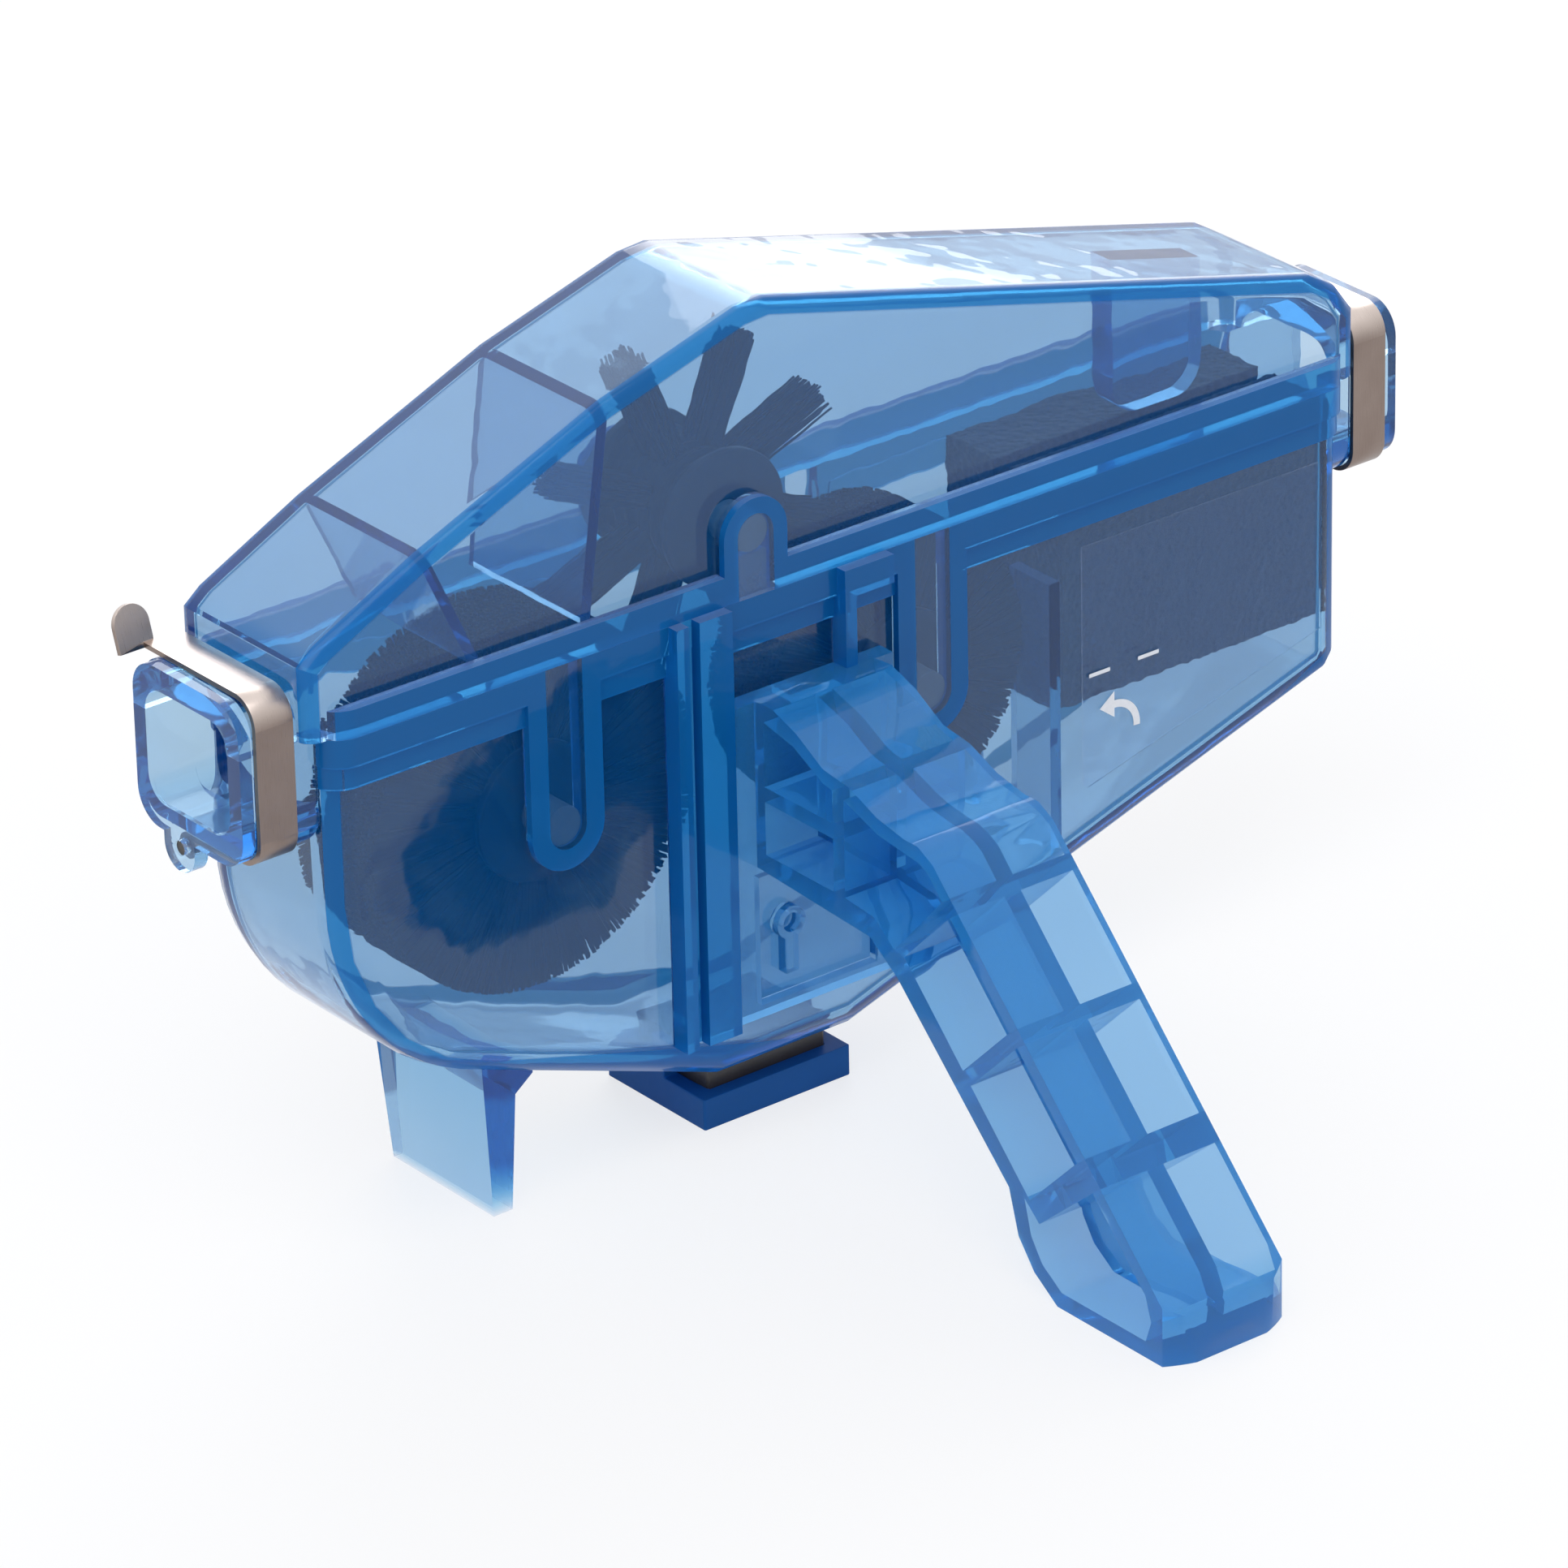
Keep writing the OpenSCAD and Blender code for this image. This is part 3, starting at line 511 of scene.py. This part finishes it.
def drawn_wire():
    material, g = new_material("pin_drawn_wire")
    grain = g.noise(scale=700.0, roughness=0.6, stretch=(0.3, 4.0, 4.0))
    g.finish(g.principled(
        Base_Color=g.blend(grain, (0.05, 0.045, 0.042), (0.16, 0.15, 0.14)),
        Metallic=1.0, Roughness=grain * 0.2 + 0.3, Normal=g.bump(grain, strength=0.1, distance=0.2 * MM)))
    return material


def magnet_ferrite():
    material, g = new_material("magnet_ferrite")
    grit = g.noise(scale=1400.0, detail=4.0)
    cloud = g.noise(scale=120.0)
    g.finish(g.principled(
        Base_Color=g.blend(cloud, (0.018, 0.014, 0.012), (0.050, 0.040, 0.034)),
        Roughness=grit * 0.25 + 0.28, Coat_Weight=0.25, Coat_Roughness=0.25,
        Normal=g.bump(grit, strength=0.15, distance=0.3 * MM)))
    return material


def tray_plastic():
    material, g = new_material("tray_blue_plastic")
    flow = g.noise(scale=55.0, roughness=0.5, stretch=(1.0, 3.0, 3.0))
    fine = g.noise(scale=900.0, detail=2.0)
    g.finish(g.principled(
        Base_Color=g.blend(flow, (0.004, 0.070, 0.245), (0.008, 0.092, 0.305)),
        Roughness=fine * 0.12 + 0.45, Specular_IOR_Level=0.15,
        Normal=g.bump(fine, strength=0.03, distance=0.2 * MM)))
    return material


def foam(colour):
    material, g = new_material("open_cell_foam")
    pores = g.cells(scale=900.0)
    grit = g.noise(scale=1600.0, detail=4.0)
    dark = tuple(c * 0.35 for c in colour)
    pale = tuple(c * 2.1 for c in colour)
    # Painted shade in the pores: the colour follows the same cells as the bump, so the pits are darker; the
    # grit adds a fine random tone
    g.finish(g.principled(
        Base_Color=g.blend(pores * 1.2 + grit * 0.35, dark, pale),
        Roughness=0.9, Sheen_Weight=0.05, Sheen_Roughness=0.5,
        Normal=g.bump(pores + grit * 0.4, strength=0.8, distance=0.8 * MM)))
    return material


def nylon():
    material, g = new_material("bristle_nylon")
    along = g.noise(scale=500.0)
    g.finish(g.principled(
        Base_Color=g.blend(along, (0.0010, 0.0012, 0.002), (0.0025, 0.003, 0.005)),
        Roughness=along * 0.2 + 0.4, Specular_IOR_Level=0.03,
        Normal=g.bump(along, strength=0.1, distance=0.2 * MM)))
    return material


def moulded(name, low, high):
    """Opaque moulded plastic, a little cloudy, between two colours."""
    material, g = new_material(name)
    spark = g.noise(scale=1200.0)
    cloud = g.noise(scale=90.0)
    g.finish(g.principled(
        Base_Color=g.blend(cloud, low, high), Roughness=spark * 0.2 + 0.4, Specular_IOR_Level=0.15,
        Normal=g.bump(spark, strength=0.12, distance=0.3 * MM)))
    return material


def print_ink():
    material, g = new_material("print_white")
    speck = g.noise(scale=1500.0, detail=2.0)
    g.finish(g.principled(
        Base_Color=g.blend(speck, (0.74, 0.76, 0.80), (0.86, 0.87, 0.89)), Roughness=speck * 0.15 + 0.35))
    return material


def floor_paper():
    """White paper that keeps the cleaner's shadow and otherwise shows as plain white."""
    material, g = new_material("floor_paper")
    paper = g.principled(
        Base_Color=g.blend(g.noise(scale=8.0, detail=2.0), (0.90, 0.90, 0.92), (0.94, 0.94, 0.95)),
        Roughness=0.6)
    glow = g.node("ShaderNodeEmission", {}, {"Color": (1.0, 1.0, 1.0), "Strength": 1.0})
    g.finish(g.layer(g.seen() * FLOOR_GLOW, paper, glow))
    return material


# Dressing and adding pieces


def dress(name, material):
    """Gives a carried-over CAD piece its finish."""
    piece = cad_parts[name]
    piece.data.materials.clear()
    piece.data.materials.append(material)
    return piece


def smooth_rounds():
    """Geometry nodes that shade round surfaces smooth and keep their sharper edges."""
    group = bpy.data.node_groups.new("smooth_rounds", "GeometryNodeTree")
    for way in ("INPUT", "OUTPUT"):
        group.interface.new_socket("Geometry", in_out=way, socket_type="NodeSocketGeometry")
    start = group.nodes.new("NodeGroupInput")
    angle = group.nodes.new("GeometryNodeInputMeshEdgeAngle")
    sharp = group.nodes.new("FunctionNodeCompare")
    sharp.operation = "GREATER_THAN"
    sharp.inputs[1].default_value = SHARP_ANGLE
    faces = group.nodes.new("GeometryNodeSetShadeSmooth")
    faces.inputs["Shade Smooth"].default_value = True
    edges = group.nodes.new("GeometryNodeSetShadeSmooth")
    edges.domain = "EDGE"
    edges.inputs["Shade Smooth"].default_value = False
    end = group.nodes.new("NodeGroupOutput")
    for source, target in (
            (angle.outputs["Unsigned Angle"], sharp.inputs[0]),
            (start.outputs[0], faces.inputs["Geometry"]),
            (faces.outputs[0], edges.inputs["Geometry"]),
            (sharp.outputs[0], edges.inputs["Selection"]),
            (edges.outputs[0], end.inputs[0])):
        group.links.new(source, target)
    return group


def soften(piece, edge, shrink=0.0, rounds=None):
    """Joins the loose corners of a CAD piece, draws it in where it is seated and rounds its edges."""
    weld = piece.modifiers.new("join", "WELD")
    weld.merge_threshold = WELD_GAP
    if shrink:
        pull = piece.modifiers.new("seat", "DISPLACE")
        pull.strength = -shrink
        pull.mid_level = 0.0
    bevel = piece.modifiers.new("edges", "BEVEL")
    bevel.width = edge
    bevel.segments = EDGE_SEGMENTS
    bevel.limit_method = "ANGLE"
    bevel.angle_limit = EDGE_ANGLE
    bevel.miter_outer = "MITER_ARC"
    if rounds:
        shade = piece.modifiers.new("rounds", "NODES")
        shade.node_group = rounds
        weigh = piece.modifiers.new("normals", "WEIGHTED_NORMAL")
        weigh.keep_sharp = True


def add_piece(name, vertices, faces, material, body, smooth=True):
    mesh = bpy.data.meshes.new(name)
    mesh.from_pydata([tuple(v) for v in vertices], [], faces)
    mesh.validate()
    mesh.update()
    for polygon in mesh.polygons:
        polygon.use_smooth = smooth
    mesh.materials.append(material)
    piece = bpy.data.objects.new(name, mesh)
    bpy.context.scene.collection.objects.link(piece)
    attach(piece, body)
    return piece


# Brushes


def filament(vertices, faces, root, tip, radius, turn, flare):
    """One bristle: a three sided rod from root to tip, which flare makes thicker or thinner at its tip."""
    along = (tip - root).normalized()
    across = along.orthogonal().normalized()
    side = along.cross(across)
    start = len(vertices)
    for point, r in ((root, radius), (tip, radius * flare)):
        for k in range(3):
            a = turn + k * math.tau / 3
            vertices.append(point + across * (r * math.cos(a)) + side * (r * math.sin(a)))
    for k in range(3):
        n = (k + 1) % 3
        faces.append((start + k, start + n, start + 3 + n, start + 3 + k))
    faces.append((start + 3, start + 4, start + 5))
    faces.append((start + 2, start + 1, start))


def wheel_point(place, angle, radius, y):
    """A point of a wheel, from millimetres, with the angle counted from straight up."""
    return Vector((place[0] + radius * math.sin(angle), y, place[1] + radius * math.cos(angle))) * MM


def sleeve_profile():
    """The sleeve's section across the wheel, with a ridge or a groove at every step."""
    ridges = [(k * RIDGE_STEP, RIDGE_RADIUS if k % 2 else GROOVE_RADIUS)
              for k in range(-RIDGES_EACH_WAY, RIDGES_EACH_WAY + 1)]
    end = [(SLEEVE_END_RIDGE, RIDGE_RADIUS), (SLEEVE_HALF, SHOULDER_RADIUS), (SLEEVE_HALF, SLEEVE_BORE)]
    return [(-y, radius) for y, radius in reversed(end)] + ridges + end


def sleeve(place):
    """The ring that carries the bristles: its section turned around the axle."""
    profile = sleeve_profile()
    count = len(profile)
    vertices, faces = [], []
    for k in range(SLEEVE_STEPS):
        vertices += [wheel_point(place, k * math.tau / SLEEVE_STEPS, radius, y) for y, radius in profile]
        here, there = k * count, (k + 1) % SLEEVE_STEPS * count
        for j in range(count):
            m = (j + 1) % count
            faces.append((here + j, here + m, there + m, there + j))
    return vertices, faces


def lower_brush(name, wheel, settings, material):
    """A dense disc of bristles, in rows across the wheel."""
    rng = random.Random(wheel["seed"])
    place, reach = wheel["place"], wheel["radius"]
    vertices, faces = sleeve(place)
    for row in range(settings.rings):
        y = ROW_HALF * (2 * row / (settings.rings - 1) - 1)
        for k in range(settings.round_count):
            step = k + 0.5 * (row % 2) + rng.uniform(-ROOT_JITTER_SHARE, ROOT_JITTER_SHARE)
            a = step * math.tau / settings.round_count
            lean = rng.uniform(-BRISTLE_LEAN, BRISTLE_LEAN)
            end = reach - abs(rng.gauss(0.0, WORN_ENDS))
            tip_y = y * ROW_SPREAD + rng.uniform(-TIP_JITTER, TIP_JITTER)
            root = wheel_point(place, a, ROOT_RADIUS, y)
            tip = wheel_point(place, a + lean, end, max(-TIP_HALF, min(TIP_HALF, tip_y)))
            turn = rng.uniform(0.0, math.tau)
            filament(vertices, faces, root, tip, settings.filament / 2, turn, TIP_FLARE)
    return add_piece(name, vertices, faces, material, wheel["body"], smooth=False)


def tufted_brush(name, wheel, settings, material):
    """Separate tufts around the wheel, each a block of bristles with a frayed end."""
    rng = random.Random(wheel["seed"])
    place, reach = wheel["place"], wheel["radius"]
    vertices, faces = sleeve(place)
    middle = Vector((place[0], 0.0, place[1]))
    for k in range(settings.tufts):
        a = (k + 0.5) * math.tau / settings.tufts
        out = Vector((math.sin(a), 0.0, math.cos(a)))
        side = Vector((math.cos(a), 0.0, -math.sin(a)))
        for i in range(TUFT_COLUMNS):
            across = TUFT_HALF_WIDTH * (2 * i / (TUFT_COLUMNS - 1) - 1)
            for j in range(TUFT_ROWS):
                y = TUFT_HALF_DEPTH * (2 * j / (TUFT_ROWS - 1) - 1)
                shift = [rng.uniform(-TUFT_ROOT_JITTER, TUFT_ROOT_JITTER) for _ in range(2)]
                root = middle + out * TUFT_ROOT + side * (across * TUFT_PINCH + shift[0])
                root.y = y + shift[1]
                spread = across * TUFT_SPREAD + rng.gauss(0.0, TUFT_FRAY)
                full = math.sqrt((reach - TUFT_CLEARANCE) ** 2 - spread ** 2)
                tip = middle + out * (full - abs(rng.gauss(0.0, TUFT_WEAR))) + side * spread
                tip.y = y * TUFT_DEPTH_SPREAD + rng.gauss(0.0, TUFT_DEPTH_FRAY)
                turn = rng.uniform(0.0, math.tau)
                filament(vertices, faces, root * MM, tip * MM, settings.filament / 2, turn, TUFT_TAPER)
    return add_piece(name, vertices, faces, material, wheel["body"], smooth=False)


# Sponge


def spread_evenly(first, last, step):
    """Values from first to last, about one step apart."""
    count = round((last - first) / step)
    return [first + (last - first) * i / count for i in range(count + 1)]


def foam_skin(low, high, step):
    """The closed surface of a foam half, with the step for the chain slit along its top inner edge."""
    slit_y, slit_z = high.y - SLIT_HALF, high.z - SLIT_DEPTH
    section = [
        Vector((low.y, low.z)), Vector((high.y, low.z)), Vector((high.y, slit_z)),
        Vector((slit_y, slit_z)), Vector((slit_y, high.z)), Vector((low.y, high.z))]
    ring = []
    for point, other in zip(section, section[1:] + section[:1]):
        side = other - point
        ring += [point + side * share for share in spread_evenly(0.0, 1.0, step / side.length)[:-1]]
    places = spread_evenly(low.x, high.x, step)
    vertices = [Vector((x, y, z)) for x in places for y, z in ring]
    faces = []
    count = len(ring)
    for i in range(len(places) - 1):
        for k in range(count):
            n = (k + 1) % count
            faces.append((i * count + k, i * count + n, (i + 1) * count + n, (i + 1) * count + k))
    ys = spread_evenly(low.y, slit_y, step) + spread_evenly(slit_y, high.y, SLIT_HALF / 2)[1:]
    zs = spread_evenly(low.z, slit_z, step) + spread_evenly(slit_z, high.z, step)[1:]
    for x, flip in ((low.x, False), (high.x, True)):
        add_cap(vertices, faces, ys, zs, x, flip, (slit_y, slit_z))
    return vertices, faces


def add_cap(vertices, faces, ys, zs, x, flip, slit):
    """Closes one end with a grid that leaves the slit open."""
    start = len(vertices)
    vertices += [Vector((x, y, z)) for y in ys for z in zs]
    count = len(zs)
    for i in range(len(ys) - 1):
        for k in range(count - 1):
            if ys[i] >= slit[0] - HAIR and zs[k] >= slit[1] - HAIR:
                continue
            a, b = start + i * count + k, start + (i + 1) * count + k
            face = (a, a + 1, b + 1, b)
            faces.append(face[::-1] if flip else face)


def foam_block(name, low, high, far_side, settings, material):
    """A half of the sponge, with open pores and worn corners."""
    vertices, faces = foam_skin(low, high, settings.cell)
    piece = add_piece(name, vertices, faces, material, "reservoir")
    join = piece.modifiers.new("join", "WELD")
    join.merge_threshold = FOAM_JOIN
    bpy.context.view_layer.update()
    made = bpy.data.meshes.new_from_object(piece.evaluated_get(bpy.context.evaluated_depsgraph_get()))
    piece.modifiers.clear()
    centre, half = (low + high) / 2, (high - low) / 2
    normals = [v.normal.copy() for v in made.vertices]
    for vertex, normal in zip(made.vertices, normals):
        p = vertex.co.copy()
        pore = noise.noise(p * FINE_PORES) * 0.6 + noise.noise(p * COARSE_PORES) * 0.5
        corner = sum(max(0.0, abs(p[i] - centre[i]) / half[i] - CORNER_SHARE) for i in range(3))
        inward = settings.rough * max(0.0, PORE_LIFT + pore) + corner * CORNER_WEAR
        vertex.co = p - normal * min(inward, DEEPEST_PORE)
    if far_side:
        made.transform(Matrix.Scale(-1.0, 4, Vector((0.0, 1.0, 0.0))))
        made.flip_normals()
    made.update()
    piece.data = made
    return piece


# Printed marks


def print_mark(name, outline, material):
    """A thin printed shape on the near wall, from its outline in X and Z in millimetres."""
    vertices = [Vector((x, y, z)) * MM for y in (PRINT_FACE, PRINT_FACE - PRINT_THICK) for x, z in outline]
    count = len(outline)
    faces = [tuple(range(count)), tuple(range(2 * count - 1, count - 1, -1))]
    for k in range(count):
        n = (k + 1) % count
        faces.append((count + k, count + n, n, k))
    return add_piece(name, vertices, faces, material, "reservoir", smooth=False)


def dash_outline(start):
    top = DASH_FOOT + DASH_HEIGHT
    end = start + DASH_LENGTH
    return [(start, DASH_FOOT), (end, DASH_FOOT), (end, top), (start, top)]


def arrow_outline():
    """A bent arrow that shows which way the wheels turn."""
    outer = arc_points(ARROW_CENTRE, ARROW_OUTER, *ARROW_SWEEP, ARROW_STEPS)
    inner = arc_points(ARROW_CENTRE, ARROW_INNER, *ARROW_SWEEP, ARROW_STEPS)
    x, z = ARROW_CENTRE[0], ARROW_CENTRE[1] + (ARROW_INNER + ARROW_OUTER) / 2
    head = [(x, z + ARROW_HEAD_HALF), (x - ARROW_HEAD, z), (x, z - ARROW_HEAD_HALF)]
    return outer + head + inner[::-1]


# Stage


def add_floor(scene, reach):
    side = FLOOR_ROWS + 1
    ticks = spread_evenly(-reach, reach, 2 * reach / FLOOR_ROWS)
    vertices = [(x, y, 0.0) for x in ticks for y in ticks]
    faces = [(i * side + k, (i + 1) * side + k, (i + 1) * side + k + 1, i * side + k + 1)
             for i in range(FLOOR_ROWS) for k in range(FLOOR_ROWS)]
    mesh = bpy.data.meshes.new("floor")
    mesh.from_pydata(vertices, [], faces)
    mesh.materials.append(floor_paper())
    floor = bpy.data.objects.new("floor", mesh)
    scene.collection.objects.link(floor)


def add_sky(scene, strength):
    """An even white sky, which shows as pure white behind the cleaner."""
    scene.world = bpy.data.worlds.new("studio")
    g = Graph(scene.world)
    soft = g.node("ShaderNodeBackground", {}, {"Color": (0.96, 0.97, 1.0), "Strength": strength})
    white = g.node("ShaderNodeBackground", {}, {"Color": (1.0, 1.0, 1.0), "Strength": 1.0})
    g.finish(g.layer(g.seen(), soft, white), world=True)


def add_lamp(scene, name, place, size, power):
    data = bpy.data.lights.new(name, "AREA")
    data.shape = "SQUARE"
    data.size = size
    data.energy = power
    lamp = bpy.data.objects.new(name, data)
    lamp.location = place
    lamp.rotation_mode = "QUATERNION"
    lamp.rotation_quaternion = (LAMP_AIM - Vector(place)).to_track_quat("-Z", "Y")
    scene.collection.objects.link(lamp)


def add_camera(scene):
    camera = bpy.data.objects.new("camera", bpy.data.cameras.new("camera"))
    scene.collection.objects.link(camera)
    camera.matrix_world = Matrix.Translation(EYE) @ Matrix(CAMERA_AXES).transposed().to_4x4()
    camera.data.sensor_width = SENSOR
    camera.data.sensor_fit = "HORIZONTAL"
    camera.data.lens = LENS
    camera.data.clip_end = FAR_CLIP
    scene.camera = camera


# Operators


class CLEANER_OT_stage(Operator):
    """Adds the floor, the sky, the two soft boxes and the camera"""

    bl_idname = "cleaner.stage"
    bl_label = "Stage"

    def execute(self, context):
        scene = context.scene
        settings = scene.cleaner_stage
        scene.view_settings.view_transform = "Standard"
        scene.cycles.max_bounces = BOUNCES
        scene.cycles.transmission_bounces = BOUNCES
        scene.cycles.transparent_max_bounces = BOUNCES
        add_sky(scene, settings.sky)
        add_floor(scene, settings.floor_reach)
        if settings.with_lamps:
            for name, lamp in LAMPS.items():
                add_lamp(scene, name, **lamp)
        add_camera(scene)
        return {"FINISHED"}


class CLEANER_OT_shells(Operator):
    """Finishes the reservoir, the cover and the grip in clear blue plastic"""

    bl_idname = "cleaner.shells"
    bl_label = "Clear mouldings"

    def execute(self, context):
        settings = context.scene.cleaner_plastic
        rounds = smooth_rounds()
        tank = shell_plastic("clear_blue_tank", settings, tank_outline(), ("front", "rear"), True)
        cover = shell_plastic("clear_blue_cover", settings, COVER_OUTLINE, ("upper",), False)
        soften(dress("tank", tank), settings.edge, 0.0, rounds)
        soften(dress("cover", cover), settings.edge, SEAT, rounds)
        soften(dress("handle", grip_plastic(settings)), settings.edge, SEAT, rounds)
        return {"FINISHED"}


class CLEANER_OT_fittings(Operator):
    """Finishes the latch straps, pins, magnet, tray, hubs and axles"""

    bl_idname = "cleaner.fittings"
    bl_label = "Fittings"

    def execute(self, context):
        steel, wire = strap_steel(), drawn_wire()
        for end in ("front", "rear"):
            soften(dress(f"latch_strap_{end}", steel), STRAP_EDGE)
            soften(dress(f"latch_pin_{end}", wire), PIN_EDGE)
        soften(dress("magnet", magnet_ferrite()), MAGNET_EDGE, SEAT)
        soften(dress("magnet_tray", tray_plastic()), TRAY_EDGE, SEAT)
        hub = moulded("hub_plastic_dark", (0.004, 0.005, 0.008), (0.013, 0.014, 0.020))
        axle = moulded("axle_plastic_grey", (0.10, 0.105, 0.115), (0.19, 0.195, 0.21))
        for wheel in WHEELS:
            soften(dress(f"{wheel}_hub", hub), HUB_EDGE)
            soften(dress(f"{wheel}_axle", axle), AXLE_EDGE)
        return {"FINISHED"}


class CLEANER_OT_brushes(Operator):
    """Adds the two lower brushes and the tufted upper brush"""

    bl_idname = "cleaner.brushes"
    bl_label = "Brushes"

    def execute(self, context):
        settings = context.scene.cleaner_brush
        material = nylon()
        for end in ("front", "rear"):
            piece = lower_brush(f"{end}_brush", WHEELS[end], settings, material)
            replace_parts(piece, f"{end}_bristles")
        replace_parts(tufted_brush("upper_brush", WHEELS["upper"], settings, material), "upper_bristles")
        return {"FINISHED"}


class CLEANER_OT_sponge(Operator):
    """Adds the two foam blocks of the drying sponge"""

    bl_idname = "cleaner.sponge"
    bl_label = "Sponge"

    def execute(self, context):
        settings = context.scene.cleaner_sponge
        material = foam(tuple(settings.colour))
        low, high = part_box("sponge_near")
        inner = Vector((high.x, -FOAM_GAP, high.z))
        for name, far_side in (("foam_near", False), ("foam_far", True)):
            piece = foam_block(name, low, inner, far_side, settings, material)
            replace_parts(piece, name.replace("foam", "sponge"))
        return {"FINISHED"}


class CLEANER_OT_label(Operator):
    """Finishes the label film and prints its level dashes and arrow"""

    bl_idname = "cleaner.label"
    bl_label = "Label"

    def execute(self, context):
        soften(dress("fill_label", label_film()), LABEL_EDGE, LABEL_SEAT)
        ink = print_ink()
        for name, start in DASH_STARTS.items():
            print_mark(name, dash_outline(start), ink)
        print_mark("turning_arrow", arrow_outline(), ink)
        return {"FINISHED"}


class CLEANER_PT_panel(Panel):
    """Lists the steps that dress the chain cleaner"""

    bl_idname = "CLEANER_PT_panel"
    bl_label = "Chain cleaner"
    bl_space_type = "VIEW_3D"
    bl_region_type = "UI"
    bl_category = "Cleaner"

    def draw(self, context):
        for group in SETTINGS:
            settings = getattr(context.scene, group)
            box = self.layout.box()
            for name in settings.__annotations__:
                box.prop(settings, name)
        for operator in OPERATORS:
            self.layout.operator(operator.bl_idname)


SETTINGS = {
    "cleaner_plastic": PlasticSettings,
    "cleaner_brush": BrushSettings,
    "cleaner_sponge": SpongeSettings,
    "cleaner_stage": StageSettings,
}
OPERATORS = (
    CLEANER_OT_stage,
    CLEANER_OT_shells,
    CLEANER_OT_fittings,
    CLEANER_OT_brushes,
    CLEANER_OT_sponge,
    CLEANER_OT_label,
)


def register():
    for kind in (*SETTINGS.values(), *OPERATORS, CLEANER_PT_panel):
        bpy.utils.register_class(kind)
    for name, kind in SETTINGS.items():
        setattr(bpy.types.Scene, name, PointerProperty(type=kind))


def unregister():
    for name in SETTINGS:
        delattr(bpy.types.Scene, name)
    for kind in reversed((*SETTINGS.values(), *OPERATORS, CLEANER_PT_panel)):
        bpy.utils.unregister_class(kind)


def main():
    register()
    bpy.ops.cleaner.stage()
    bpy.ops.cleaner.shells()
    bpy.ops.cleaner.fittings()
    bpy.ops.cleaner.brushes()
    bpy.ops.cleaner.sponge()
    bpy.ops.cleaner.label()
    bpy.context.view_layer.update()


if __name__ == "__main__":
    main()
